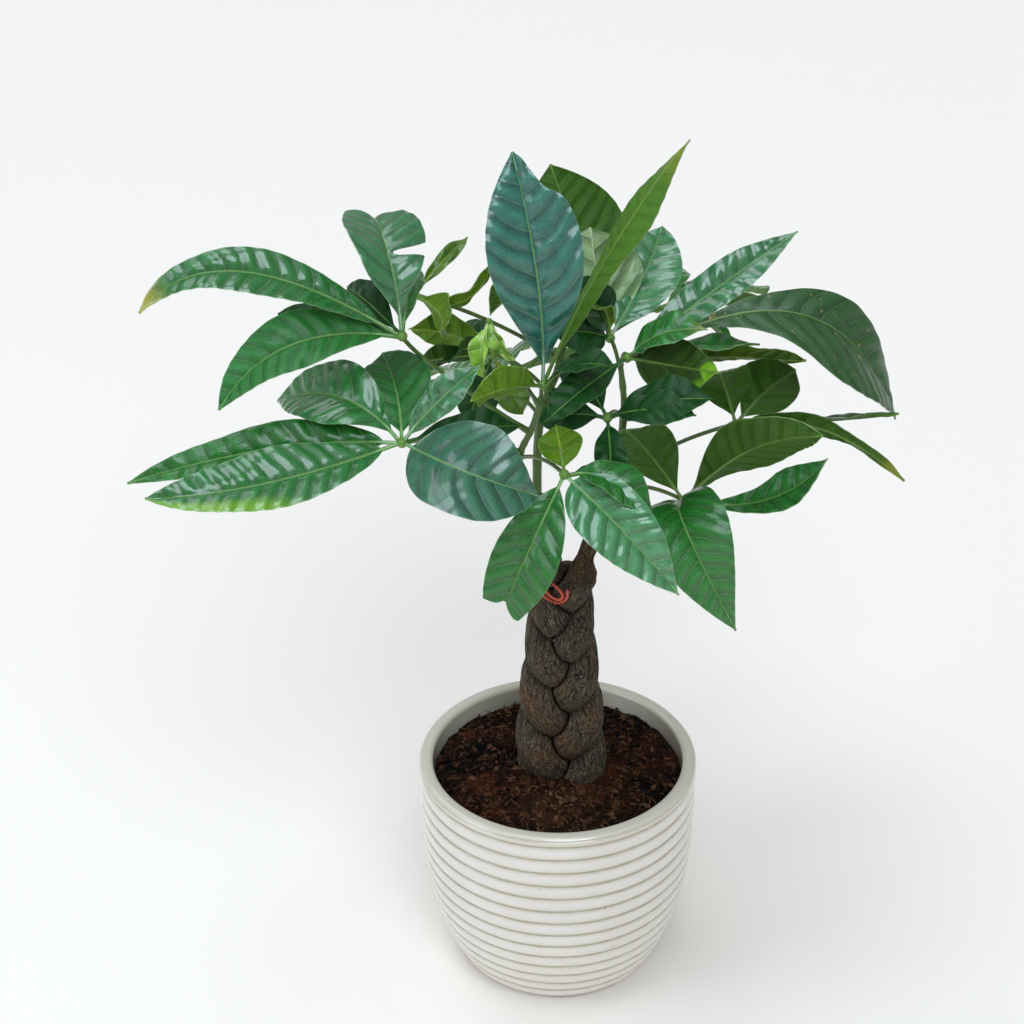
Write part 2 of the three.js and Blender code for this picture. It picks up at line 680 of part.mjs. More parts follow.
    name: 'leaf_back_right', shoot: 'back', at: 0.6, finish: 'deep', hub: [52, 86, 356],
    face: [0.3, 0.6, 0.75],
    leaflets: [
      { tip: [132, 96, 342], width: 34 },
      { tip: [116, 158, 330], width: 38 },
      { tip: [52, 182, 340], width: 36 },
      { tip: [88, 46, 352], width: 24 },
    ],
  },
  {
    name: 'leaf_back', shoot: 'back', at: 1, finish: 'deep', hub: [4, 66, 388],
    face: [0, 0.5, 0.85],
    leaflets: [
      { tip: [-16, 138, 366], width: 36 },
      { tip: [22, 158, 370], width: 38 },
      { tip: [52, 116, 380], width: 32 },
      { tip: [-36, 90, 350], width: 24 },
    ],
  },
];

function leafBody(leaf) {
  const blades = leaf.leaflets.map((leaflet) => leafletBody(leaf.hub, { face: leaf.face, ...leaflet }));
  const grown = blades.reduce((body, blade) => body.add(blade), hubBody(leaf).add(petioleBody(leaf)));
  return mainPiece(grown.subtract(shootBody(SHOOTS[leaf.shoot], CLEARANCE)));
}

const group = new THREE.Group();
group.add(part('pot', potBody(), FINISHES.glaze));
group.add(part('soil', soilBody(), FINISHES.soil));
const trunks = trunkBodies();
trunks.forEach((body, k) => group.add(part(TRUNKS[k].name, body, FINISHES.bark)));
group.add(part('wire_tie', wireBody(WIRE_RADIUS), FINISHES.wire));
for (const [name, shoot] of Object.entries(SHOOTS)) {
  const socket = trunkSkin(TRUNKS[shoot.trunk], CLEARANCE);
  group.add(part(`shoot_${name}`, mainPiece(shootBody(shoot).subtract(socket)), FINISHES.shoot));
}
for (const leaf of LEAVES) group.add(part(leaf.name, leafBody(leaf), FINISHES[leaf.finish]));

export default group;
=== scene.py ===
"""A potted money tree: three plaited trunks and palmate leaves in a ribbed, glazed pot."""

import math
from functools import partial

import bpy
import numpy as np
from mathutils import Matrix, Vector, noise


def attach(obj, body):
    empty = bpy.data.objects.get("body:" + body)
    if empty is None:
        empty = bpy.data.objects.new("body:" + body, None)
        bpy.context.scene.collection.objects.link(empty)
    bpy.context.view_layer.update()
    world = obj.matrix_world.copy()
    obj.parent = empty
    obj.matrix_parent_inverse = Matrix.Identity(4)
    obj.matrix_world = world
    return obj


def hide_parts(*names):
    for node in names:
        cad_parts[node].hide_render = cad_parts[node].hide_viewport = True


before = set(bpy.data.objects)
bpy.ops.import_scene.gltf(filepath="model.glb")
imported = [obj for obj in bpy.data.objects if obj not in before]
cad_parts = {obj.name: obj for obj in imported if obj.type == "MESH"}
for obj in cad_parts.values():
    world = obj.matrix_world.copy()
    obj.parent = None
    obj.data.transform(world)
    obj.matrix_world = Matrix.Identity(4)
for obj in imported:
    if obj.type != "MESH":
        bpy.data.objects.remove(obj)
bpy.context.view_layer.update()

bl_info = {
    "name": "Potted money tree",
    "version": (1, 0, 0),
    "blender": (4, 5, 0),
    "location": "View3D > Sidebar > Money tree",
    "description": "Models a plaited money tree in a ribbed, glazed pot",
    "category": "Add Mesh",
}

MM = 0.001
TAU = 2 * math.pi
SEAM = 0.999

# Pot, in millimetres, as in the part's source
RIM_HEIGHT = 130
RIM_RADIUS = 75
FOOT_DRAW_IN = 24
FOOT_CURVE = 3.5
WALL = 7.5
FLOOR = 8
RIB_COUNT = 15
RIB_SPACING = 8.7
RIB_REACH = 0.9
LIP_BAND = 6
LIP_ROUND = 2.2
FOOT_INSET = 3
CORNER_ROUND = 6
INNER_CORNER = FLOOR + CORNER_ROUND
INNER_HEIGHTS = (124, 116, 105, 90, 72, 55, 42, 30, 20, INNER_CORNER)

# Pot, finer than in the source
POT_SIDES = 128
RIB_SHARES = (0, 0.04, 0.1, 0.18, 0.28, 0.4, 0.5, 0.6, 0.72, 0.82, 0.9, 0.96)
RIB_FULLNESS = 2.3
FOOT_RINGS = ((0, 0), (0.5, 0.5), (0.85, 1.6))
LIP_OUTER_TURNS = (20, 45, 70, 90)
LIP_INNER_TURNS = (90, 65, 40, 15, 0)
# How strongly the inside wall takes the painted shade
INNER_SHADE = 0.6
OUTSIDE_MARGIN = 1.5
FAR_FROM_GROOVE = 5

# Soil
SOIL_LEVEL = 121
SOIL_MOUND = 3
SOIL_EDGE_DROP = 2
SOIL_SIDE_GAP = 0.7
SOIL_GRID = (220, 66)
SOIL_TOP_SHARE = 0.93
SOIL_SIDE_DEPTH = 40
SOIL_TOP = 125
SOIL_LUMPS = ((1.6, 11), (1.5, 4.5), (1.2, 2))
LUMPS_SLICE = 3

# Chips and fibres on the soil
BITS_SEED = 7
TRUNK_ROOM = 11
CHIP_REACH = 65
CHIP_LARGEST = (3.6, 1.9, 1.3)
CHIP_SUNK = 0.35
FIBRE_REACH = 66
FIBRE_STEPS = 7
FIBRE_SIDES = 3
FIBRE_TAPER = (0.4, 1, 1, 1, 1, 0.9, 0.3)
# A lighter patch of chips, and of crumbs on the bed, at the front
FRONT_PALE_CHIPS = ((-2, -38), 500)
FRONT_PALE_CRUMBS = ((-2, -40), 260)

# Plait: each trunk swings across and through the plait as it climbs
PLAIT_PITCH = 92
PLAIT_PHASE_HEIGHT = 242
PLAIT_PHASE = 45
TRUNK_FOOT = 98
TRUNK_BOTTOM = 125
TRUNK_SPLIT = 243
TRUNK_THINNING = 11
SWING_BOTTOM = 13.7
SWING_TOP = 6.8
DEPTH_SWING = 7
TRUNK_RADIUS_BOTTOM = 11.6
TRUNK_RADIUS_SPLIT = 10.6
TRUNK_RADIUS_TOP = 4.8
TRUNK_STEP = 1.2
TRUNK_HALVINGS = 6
TRUNK_LINE_POINTS = 101
TRUNK_GRID = (56, 130)
TRUNK_CAP_SLICES = 5
TRUNK_CAP_HEIGHT = 2.4
TRUNK_CAP_SHARE = 0.92
PLAIT_OFFSET = 1.5
PLAIT_GAP = 0.3
SLAB = 4000
TRUNKS = {
    "trunk_middle": dict(phase=240, parting=232, top=(-11, 12, 284)),
    "trunk_left": dict(phase=120, parting=240, top=(-17, -1, 294)),
    "trunk_right": dict(phase=0, parting=236, top=(26, 4, 284)),
}

# Bark: wide folds and fine creases, stretched along the trunk
FOLD_PITCH = 0.34
FOLD_DEPTH = 1.5
CREASE_PITCH = 0.75
CREASE_DEPTH = 2.2
BARK_STRETCH = 0.09
BARK_SHIFT = 40

# Wire tie
WIRE_TRUNK = "trunk_middle"
WIRE_RADIUS = 0.8
WIRE_LIFT = 0.4
WIRE_HEIGHT = 241
WIRE_CLIMB = 3
WIRE_TURN = (-120, -440)
WIRE_TURN_STEPS = 9
WIRE_STEPS = 200
WIRE_END_TAPER = (0.4, 0.85)
WIRE_LEFT_END = [
    (5, -17, 246), (4.5, -17.5, 241), (1.5, -15, 237), (-2, -13.5, 236), (-6, -13, 238.5),
]
WIRE_RIGHT_END = [
    (-2, -12.5, 246), (0.5, -16, 245.5), (2.5, -17, 242.5), (1.5, -17, 240), (-1.5, -16, 239.7),
    (-4.5, -15, 241.5), (-6.5, -13.5, 243.5),
]

# Shoots: the green stems that carry the leaves
SHOOTS = {
    "leader": dict(radius=(2.3, 1.4), points=[
        (-17, -1, 290), (-19.6, -5, 316), (-13, -10, 336), (-8.4, -13.5, 354)]),
    "back": dict(radius=(2.8, 1.5), points=[(-11, 12, 280), (-9, 19, 325), (0, 29, 350), (6, 40, 372)]),
    "right": dict(radius=(2.8, 1.5), points=[(26, 4, 280), (30, 3, 310), (33, 6, 338), (31, 8, 362)]),
}
SHOOT_STEPS = 60
SHOOT_SLIMNESS = 0.9
SHOOT_END_TAPER = (0.95, 0.75, 0.35)

# Leaf stalks and hubs
STALK_STEPS = 40
STALK_RADIUS = 1.05
STALK_BOW = (0, 0, 8)
HUB_RADIUS = 2.6
HUB_SOCKET = 1.5

# Leaflets
STALK_HALF_WIDTH = 0.9
STALK_SHARE = 0.06
STALK_END = 0.2
TIP_HALF_WIDTH = 0.5
BELLY = 0.56
FOLD = 12
RISE = 6
BLADE_THICKNESS = 0.5
BLADE_GRID = (22, 92)
BLADE_CROWDING = 1.25
VEIN_LEAN = 0.42
VEIN_CURVE = 0.016
VEIN_WANDER = 2.2
MIDRIB_STEPS = 65
RIB_STEPS = 26
RIB_END = 0.93
RIB_RADII = (0.75, 0.22)
TONE_SEED = 3
TONE_RANGE = (0.92, 1.08)

# How a blade departs from a plain folded sheet: heights in millimetres, then counts and shares
BUCKLE = 0.5
RIPPLE = 1.2
FRILL = 0.16
RIB_GROOVE = 0.35
RIPPLE_COUNT = 2.2
UNEVENNESS = 0.9
ARCH = 0.05
SCALLOP = 0.004

# Soft noise over a blade: its pitch and its shift from the leaflet's own seed
VEIN_NOISE = (0.07, 3)
SWELL_NOISE = (0.11, 0)
BUCKLE_NOISE = (0.07, 31)

# Colours of all leaflets
# The lime patch is partly the leaflets' own colour and partly painted light shining through a leaflet's edge
LIME_PATCH = "78b01e"
AGED_TIP = "b9a93c"
DRY_FLECK = "a08a5c"

# How leaflets look: darkest, lightest and vein colours above and below
FRESH_UNDERSIDE = ("38661c", "4d7c28", "92ac5e")
GREYISH_UNDERSIDE = ("4e6f3c", "6a8c50", "aabb86")
FINISHES = {
    "deep": dict(upper=("0d5716", "228428", "a0cc84"), under=FRESH_UNDERSIDE),
    "glossy": dict(upper=("105a20", "28863a", "a4d088"), under=FRESH_UNDERSIDE,
                   coat=0.9, roughness=0.25, pillow=1.2, pleat=0.7),
    "matt": dict(upper=("165c22", "2f8236", "9cc880"), under=FRESH_UNDERSIDE,
                 coat=0.1, shine=0.4, roughness=0.42, pillow=0.6),
    # Painted shade: a darker copy of the leaf, without coat, for leaflets that lie in the shade of others
    "dark": dict(upper=("0a3610", "17501c", "4c8040"), under=("1f3d0c", "315216", "6a853c"), pillow=0.8,
                 coat=0.0, shine=0.3, roughness=0.36, pleat=0.3),
    "bluish": dict(upper=("0b4a3c", "368874", "b0cfa4"), under=("4a6b45", "668a5c", "a9ba8c"), lines=0.2,
                   pillow=2.2, spacing=1.3, roughness=0.34, furrow=0.5, shade="06302a", coat=0.8),
    "teal": dict(upper=("164f3c", "2d7a56", "9dcb92"), under=("46694a", "5f8660", "a3b78c"), spacing=1.15,
                 furrow=0.5, shade="0a332a", coat=0.9),
    # Painted sheen: these upper colours are lighter and cooler than the deep green's, on top of the
    # finishes' real gloss
    "sheen": dict(upper=("1c6030", "3a8a50", "b0d8a0"), under=GREYISH_UNDERSIDE,
                  roughness=0.26, coat=1.0, pillow=1.3, pleat=0.8),
    "silver_sheen": dict(upper=("246c38", "4c9a60", "b4dca0"), under=GREYISH_UNDERSIDE,
                         roughness=0.26, coat=1.0, pillow=1.4, pleat=0.8),
    "olive": dict(upper=("23501a", "3c7426", "86a85a"), under=("2c520f", "3f6c1a", "6f8f3c"),
                  pillow=0.8, glow=0.35, under_lines=0.25, under_furrow=0.08),
    "olive_matt": dict(upper=("2f5a22", "4a7a30", "93a566"), under=("3f6a1c", "4f7f24", "7e9a40"),
                       pillow=0.3, glow=0.3, under_lines=0.15, under_furrow=0.0),
    "brownish": dict(upper=("2f4a22", "4d7030", "97a768"), under=("26400f", "3a5a1a", "5f8030"),
                     pillow=0.6, under_lines=0.15),
    # The silver underside: a real pale grey-green, made lighter still as painted light, with painted shade
    # in its furrows
    "silver": dict(upper=("2c5030", "4b7a48", "a8ba8e"), under=("78a066", "a4c68c", "cbdcb0"),
                   pillow=1.8, spacing=1.3, under_coat=0.4, under_roughness=0.36, under_shine=0.5,
                   under_furrow=0.6, shade="3f6a3a"),
    "backlit": dict(upper=("3f6c12", "5f8a18", "98b040"), under=("487410", "648c16", "98b03e"),
                    pillow=0.9, glow=0.35),
    "lime": dict(upper=("5f9a2a", "9ccc44", "c8e088"), under=("86b82c", "b4da4c", "d2e68c"),
                 pillow=0.7, roughness=0.4),
    "dusty": dict(upper=("1c481c", "366634", "86a070"), under=("41572c", "5a7340", "94a26c"),
                  roughness=0.42, coat=0.15, spacing=1.3),
}

# What a finish leaves unsaid
PLAIN_LOOKS = dict(
    spacing=1, pillow=1, shade="0c3a14", glow=0.18, pleat=0.5,
    lines=0.18, furrow=0.3, net=0.05, roughness=0.28, shine=0.5, coat=0.4,
    under_lines=0.4, under_furrow=0.15, under_net=0.2, under_roughness=0.48, under_shine=0.25,
    under_coat=0,
)


def finger(width, tip, mid=None, **form):
    """A leaflet, one finger of its leaf: its width, its tip, its midrib's middle and its form."""
    return dict(form, width=width, tip=tip, mid=mid)


# Leaves: hubs, leaflet tips and middles in millimetres, as in the part's source
LEAVES = {
    "upper_left": dict(shoot="leader", at=0.62, finish="deep", hub=(-74, -35, 399), bow=(-26, 4, 13),
        face=(-0.15, -0.6, 0.78), leaflets=[
        finger(39, (-88, 4, 443), (-78, -33, 434), cut=0.82, belly=0.6, roll=32,
               bites=[(1, 0.62, 0.045, 0.85)], finish="sheen"),
        finger(23, (-195, -50, 418), (-147, -45, 437), belly=0.4, tip_yellow=1, finish="glossy"),
        finger(30, (-159, -65, 375), (-125, -53, 403), belly=0.46, finish="matt"),
        finger(20, (-103, 8, 404), finish="dark"),
        finger(13, (-68, 8, 412)),
        finger(16, (-136, -5, 396), rise=4, finish="dark"),
    ]),
    "left": dict(shoot="leader", at=0.4, finish="deep", hub=(-74, -60, 355), face=(-0.1, -0.55, 0.83),
        leaflets=[
        finger(32, (-191, -100, 347), (-135, -90, 350), belly=0.44, lime_side=-1, finish="glossy"),
        finger(25, (-205, -68, 337), (-137, -63, 353), belly=0.42, spacing=1.25, pillow=1.4),
        finger(36, (-137, -20, 356), (-103, -48, 373), finish="glossy"),
        finger(37, (-86, -8, 376), (-77, -43, 373), finish="matt"),
        finger(17, (-36, -62, 397), (-57, -66, 379), roll=10, finish="sheen"),
        finger(49, (-9, -95, 346), (-41, -98, 360), belly=0.46, finish="teal", pillow=0.8),
        finger(18, (-18, -38, 352), (-44, -50, 357), rise=2, finish="dark"),
    ]),
    "top": dict(shoot="leader", at=1, finish="bluish", hub=(-7.4, -15, 362.5), face=(0, -0.85, 0.5),
        leaflets=[
        finger(47, (-22, 10, 474), (-10, -10, 417), roll=8, belly=0.6, bites=[(1, 0.9, 0.07, 0.35)]),
        finger(23, (62, 10, 480), (24, 5, 422), belly=0.6, face=(0.7, 0.35, -0.6), finish="olive_matt",
               tip_yellow=0.4),
        finger(27, (-41, -66, 380), (-25, -52, 380), face=(-0.3, 0.8, 0.3), finish="backlit"),
        finger(20, (27, -42, 386), face=(0.2, -0.3, 0.9), finish="dark"),
        finger(12, (6, -20, 349), face=(0.3, -0.6, 0.7), rise=2, finish="dark"),
    ]),
    "young": dict(shoot="leader", at=0.93, finish="lime", hub=(-33, -24, 401.6), knob=1.5,
        bow=(-4.8, -6, 8), face=(-0.5, -0.8, 0.3), leaflets=[
        finger(10, (-36, -34, 377), rise=4, fold=35, belly=0.5),
        finger(7, (-21, -32, 385), rise=3, fold=40, belly=0.4),
    ]),
    "front": dict(shoot="leader", at=0.34, finish="deep", hub=(3, -55, 335), face=(0.1, -0.8, 0.6),
        leaflets=[
        finger(32, (-27, -82, 274), (-12, -78, 311), cut=0.84, belly=0.5, tear=0.08),
        finger(34, (58, -82, 284), (30, -76, 317), belly=0.37, finish="silver_sheen"),
        finger(22, (46, -66, 317), (26, -62, 336), face=(0.2, -0.4, 0.9)),
        finger(12, (26, -42, 318), face=(0.2, -0.2, 0.9), finish="dark"),
        finger(22, (-1, -42, 355), face=(0, 0.9, 0.3), rise=1, finish="backlit"),
    ]),
    "right_low": dict(shoot="right", at=0.16, finish="deep", hub=(64, 5, 286), face=(0, -0.7, 0.7),
        leaflets=[
        finger(43, (89, -50, 243), (62, -44, 300), belly=0.46),
        finger(22, (134, -14, 321), (105, -8, 294), belly=0.64, face=(0.1, -0.5, 0.85)),
        finger(30, (33, -32, 347), face=(-0.2, 0.9, 0.3), finish="olive"),
        finger(36, (127, -44, 350), (94, -20, 329), face=(0.1, 0.9, 0.3), finish="olive"),
        finger(14, (104, 24, 316), face=(0.1, -0.3, 0.9), rise=2, finish="dark"),
    ]),
    "right": dict(shoot="right", at=0.22, finish="dark", hub=(90, 15, 325), face=(0.1, 0.4, 0.9),
        leaflets=[
        finger(14, (168, -10, 344), (128, 3, 333), finish="olive"),
        finger(12, (173, -12, 307), (132, -8, 334), belly=0.34, face=(0.1, 0.9, 0.3), finish="olive",
               tip_yellow=0.7),
        finger(28, (79, -8, 366), face=(0, 0.95, -0.1), finish="olive"),
        finger(33, (119, 18, 354), face=(-0.2, 0.9, -0.2), finish="olive"),
    ]),
    "upper_right": dict(shoot="right", at=1, finish="deep", hub=(34, 0, 370), face=(0.2, -0.5, 0.85),
        leaflets=[
        finger(52, (170, 15, 328), (118, 6, 391), belly=0.68, lean=0.3, finish="dusty", spots=1),
        finger(21, (118, 35, 422), (76, 17, 398), belly=0.5, face=(0.1, -0.6, 0.8), finish="sheen"),
        finger(28, (76, -34, 379), face=(-0.2, 0.9, -0.45), rise=3, belly=0.37, finish="brownish",
               lime_side=-1, lime_tip=1),
        finger(22, (72, -14, 392), (50, -10, 388), belly=0.5, face=(-0.3, -0.3, 0.9), tip_yellow=0.4),
        finger(18, (99, 2, 376), face=(0.1, 0.1, 1), rise=2),
        finger(18, (126, 36, 350), face=(0.1, 0.8, 0.5), rise=2, finish="backlit"),
        finger(20, (-5, -50, 362), (13, -34, 371), face=(-0.3, -0.6, 0.7), finish="dark"),
    ]),
    "crown": dict(shoot="right", at=0.86, finish="deep", hub=(26, 26, 368), face=(0, -0.6, 0.7), leaflets=[
        finger(49, (16, 42, 421), belly=0.5, face=(-0.15, 0.85, -0.45), finish="silver"),
        finger(37, (53, 76, 407), (43, 53, 389), face=(-0.1, -0.7, 0.6), belly=0.5,
               finish="silver_sheen"),
        finger(52, (-4, 66, 445), face=(0, 0.9, -0.3), finish="olive"),
        finger(24, (6, 20, 403), face=(0.5, -0.6, 0.6), finish="dark"),
        finger(10, (17, 4, 395), face=(0.4, 0.8, 0.2), finish="backlit"),
        finger(26, (-2, 12, 378), face=(0, -0.7, 0.6), finish="dark"),
    ]),
    "inner_left": dict(shoot="back", at=0.72, finish="backlit", hub=(-72, 30, 390), face=(0, 0.7, 0.6),
        leaflets=[
        finger(8, (-46, 55, 410), face=(0.3, -0.5, 0.8)),
        finger(11, (-33, 30, 407), (-48, 20, 391)),
        finger(22, (-57, 0, 385), face=(-0.2, 0.9, 0.1)),
        finger(12, (-107, 52, 381), face=(-0.2, 0.3, 0.9)),
    ]),
    "middle_left": dict(shoot="back", at=0.5, finish="dark", hub=(-33, 28, 358), face=(0, 0.5, 0.85),
        leaflets=[
        finger(22, (-75, 30, 371), face=(0, 0.9, 0.2), finish="backlit"),
        finger(17, (-50, 58, 358), face=(0, -0.3, 0.9)),
        finger(20, (-54, 6, 364), face=(-0.3, 0.7, 0.6)),
        finger(15, (-73, 0, 366), face=(0, 0.9, 0.2), rise=2),
        finger(22, (-46, 26, 322), face=(0, -0.9, 0.2), rise=2),
        finger(18, (-18, 26, 325), face=(0, -0.9, 0.2), rise=2, finish="backlit"),
    ]),
    "middle": dict(shoot="right", at=0.6, finish="dark", hub=(24, -25, 350), face=(0, -0.5, 0.85),
        leaflets=[
        finger(20, (-9, -28, 348)),
        finger(22, (6, 13, 365), face=(0, -0.8, 0.6), rise=2),
        finger(24, (74, -36, 366)),
        finger(20, (66, -44, 361)),
        finger(16, (26, -50, 326)),
    ]),
    "back_left": dict(shoot="back", at=0.35, finish="deep", hub=(-34, 66, 322), face=(-0.3, 0.6, 0.75),
        leaflets=[
        finger(32, (-98, 78, 296)),
        finger(36, (-74, 142, 286)),
        finger(36, (-16, 160, 296)),
        finger(28, (22, 116, 308)),
        finger(22, (-82, 34, 314)),
    ]),
    "back_right": dict(shoot="back", at=0.6, finish="deep", hub=(52, 86, 356), face=(0.3, 0.6, 0.75),
        leaflets=[
        finger(34, (132, 96, 342)),
        finger(38, (116, 158, 330)),
        finger(36, (52, 182, 340)),
        finger(24, (88, 46, 352)),
    ]),
    "back": dict(shoot="back", at=1, finish="deep", hub=(4, 66, 388), face=(0, 0.5, 0.85), leaflets=[
        finger(36, (-16, 138, 366)),
        finger(38, (22, 158, 370)),
        finger(32, (52, 116, 380)),
        finger(24, (-36, 90, 350)),
    ]),
}
YOUNG_LEAVES = ("young", "inner_left")

# Stage, in metres, degrees and millimetres of film
FLOOR_SIZE = 14
LIGHTS_LOOK_AT = (0, 0, 0.28)
CAMERA_PLACE = (0, -1.059, 0.900)
CAMERA_PITCH = 30.26
CAMERA_YAW = 1.27
CAMERA_ROLL = -0.56
CAMERA_LENS = 84.375
CAMERA_SENSOR = 36
CAMERA_REACH = 30


def mix(a, b, t):
    return a + (b - a) * t


def smooth(t):
    s = np.clip(t, 0, 1)
    return s * s * (3 - 2 * s)


def unit(vectors):
    return vectors / np.linalg.norm(vectors, axis=-1, keepdims=True)


def level(angles):
    """Level directions at the given angles."""
    return np.stack([np.cos(angles), np.sin(angles), np.zeros_like(angles)], axis=-1)


def bend(start, control, end, t):
    """A bow from start to end, pulled towards a control point."""
    return (1 - t) ** 2 * start + 2 * t * (1 - t) * control + t ** 2 * end


def hump(t, middle, reach):
    return np.exp(-((t - middle) / reach) ** 2)


def linear(text):
    """A colour written as sRGB hex, in the linear values that shaders use."""
    channels = [int(text[i:i + 2], 16) / 255 for i in (0, 2, 4)]
    return [c / 12.92 if c <= 0.04045 else ((c + 0.055) / 1.055) ** 2.4 for c in channels]


def rgba(colour):
    """A shader colour from hex text or a colour property. A node's output stays as it is."""
    if isinstance(colour, bpy.types.NodeSocket):
        return colour
    return (*(linear(colour) if isinstance(colour, str) else colour), 1.0)


# What a user would change

def property_of(kind, name, description, default, **more):
    return kind(name=name, description=description, default=default, min=0, **more)


count_property = partial(property_of, bpy.props.IntProperty)
strength_property = partial(property_of, bpy.props.FloatProperty)


def colour_property(name, description, default):
    return property_of(
        bpy.props.FloatVectorProperty, name, description, linear(default), subtype="COLOR", size=3, max=1)


def length_property(name, description, millimetres):
    return strength_property(name, description, millimetres * MM, unit="LENGTH")


class MoneyTreePotSettings(bpy.types.PropertyGroup):
    rib_depth: length_property("Rib depth", "How far the ribs stand out from the grooves", 1.3)
    glaze: colour_property("Glaze", "Colour of the thick glaze on the ribs", "e9e6de")
    groove: colour_property("Groove", "Colour where the glaze runs thin in the grooves", "aa9c82")
    speck: colour_property("Speck", "Colour of the iron specks in the glaze", "6b5a48")


class MoneyTreeSoilSettings(bpy.types.PropertyGroup):
    earth: colour_property("Earth", "Darkest colour of the bed", "080504")
    chip: colour_property("Chip", "Colour of the coir chips", "57301c")
    fibre: colour_property("Fibre", "Colour of the pale coir fibres", "93694a")
    chips: count_property("Chips", "Number of coir chips", 3000)
    fibres: count_property("Fibres", "Number of coir fibres", 700)


class MoneyTreeStemSettings(bpy.types.PropertyGroup):
    bark: colour_property("Bark", "Colour of the bark's ridges", "584b3a")
    # The near-black colour between the ridges is painted shade
    crevice_shade: colour_property("Crevice", "Colour between the bark's ridges", "0b0806")
    rust: colour_property("Rust", "Colour of the reddish patches of bark", "6a4022")
    wrinkle: length_property("Wrinkle", "Depth of the bark's wrinkles", 0.6)
    shoot: colour_property("Shoot", "Colour of the shoots and leaf stalks", "41602a")
    wire: colour_property("Wire", "Colour of the wire's plastic coat", "a83a26")


class MoneyTreeLeafSettings(bpy.types.PropertyGroup):
    pillow: length_property("Pillow", "How far the blade swells between two veins", 0.55)
    vein_spacing: length_property("Vein spacing", "Distance between side veins along the midrib", 8.5)


class MoneyTreeStageSettings(bpy.types.PropertyGroup):
    floor: colour_property("Floor", "Colour of the floor", "faf5ec")
    window: strength_property("Window", "Power of the soft light from the left", 7, subtype="POWER")
    front: strength_property("Front", "Strength of the light in front", 1.35)
    ceiling: strength_property("Ceiling", "Strength of the light above", 1.0)
    sun: strength_property("Sun", "Strength of the veiled sun", 0.5)
    sky: strength_property("Sky", "Strength of the light all round", 0.33)


# Modelling helpers

def deselect():
    if bpy.context.object and bpy.context.object.mode != "OBJECT":
        bpy.ops.object.mode_set(mode="OBJECT")
    bpy.ops.object.select_all(action="DESELECT")


def place(piece, points):
    """Set a mesh's points, given in millimetres."""
    piece.data.vertices.foreach_set("co", (np.asarray(points) * MM).ravel())
    piece.data.update()


def points_of(piece):
    flat = np.empty(3 * len(piece.data.vertices))
    piece.data.vertices.foreach_get("co", flat)
    return flat.reshape(-1, 3) / MM


def keep_vectors(piece, name, *columns):
    """Keep a vector for each of a mesh's points, for its material to read."""
    vectors = np.empty((len(piece.data.vertices), 3), dtype=np.float32)
    for part, column in enumerate(columns):
        vectors[:, part] = column
    layer = piece.data.attributes.new(name, "FLOAT_VECTOR", "POINT")
    layer.data.foreach_set("vector", vectors.ravel())


def grid(columns, rows):
    """A flat sheet to be shaped. Returns it with each point's share across and along."""
    deselect()
    bpy.ops.mesh.primitive_grid_add(x_subdivisions=columns, y_subdivisions=rows, size=2)
    sheet = bpy.context.object
    flat = points_of(sheet) * MM
    return sheet, flat[:, 0], (flat[:, 1] + 1) / 2


def rolled_grid(columns, rows):
    """A sheet to be rolled up, with each point's angle, whether it closes the roll, and its
    share along."""
    sheet, across, along = grid(columns, rows)
    return sheet, (across + 1) * math.pi, across > SEAM, along


def closed(piece):
    """Weld a mesh's seam, fill its open ends and turn its faces outwards."""
    bpy.ops.object.mode_set(mode="EDIT")
    bpy.ops.mesh.select_all(action="SELECT")
    bpy.ops.mesh.remove_doubles(threshold=1e-6)
    bpy.ops.mesh.fill_holes(sides=0)
    bpy.ops.mesh.normals_make_consistent(inside=False)
    bpy.ops.object.mode_set(mode="OBJECT")
    bpy.ops.object.shade_smooth_by_angle(angle=math.radians(50))
    return piece


def tube(points, radii, sides=4):
    """A round tube through points, with a radius at each, in millimetres."""
    deselect()
    bpy.ops.curve.primitive_nurbs_path_add()
    path = bpy.context.object.data
    path.splines.clear()
    spline = path.splines.new("POLY")
    spline.points.add(len(points) - 1)
    for spot, point, radius in zip(spline.points, points, radii):
        spot.co = (*(np.asarray(point) * MM), 1)
        spot.radius = radius
    path.dimensions = "3D"
    path.bevel_depth = MM
    path.bevel_resolution = sides
    path.use_fill_caps = True
    bpy.ops.object.convert(target="MESH")
    return closed(bpy.context.object)


def joined(pieces):
    deselect()
    for piece in pieces:
        piece.select_set(True)
    bpy.context.view_layer.objects.active = pieces[0]
    bpy.ops.object.join()
    bpy.ops.object.transform_apply(location=True, rotation=True, scale=True)
    return bpy.context.object


def give(piece, name, slot, *nodes):
    """Name a finished piece and let it stand for its nodes."""
    piece.name = name
    piece.data.name = name
    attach(piece, "root")
    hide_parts(*nodes)


# The only function that adds a node. A socket's value is a number, a colour or another
# node's output, and what comes back is the new node's outputs.

def add_node(material, kind, sockets=None, **settings):
    tree = material.node_tree
    node = tree.nodes.new("ShaderNode" + kind)
    for name, value in settings.items():
        setattr(node, name, value)
    for name, value in (sockets or {}).items():
        if isinstance(value, bpy.types.NodeSocket):
            tree.links.new(value, node.inputs[name])
        else:
            node.inputs[name].default_value = value
    return node.outputs


def new_material(name):
    material = bpy.data.materials.new(name)
    material.use_nodes = True
    material.node_tree.nodes.clear()
    return material, partial(add_node, material)


def kept(add, name):
    """A vector that the mesh keeps for its material."""
    return add("Attribute", attribute_name=name)["Vector"]


def parts(add, vector):
    return add("SeparateXYZ", {0: vector})


def maths(add, operation, *values):
    return add("Math", dict(enumerate(values)), operation=operation)[0]


def cloud(add, spot, scale, detail, roughness=0.5):
    """Soft noise at a spot."""
    return add("TexNoise", {"Vector": spot, "Scale": scale, "Detail": detail, "Roughness": roughness})[0]


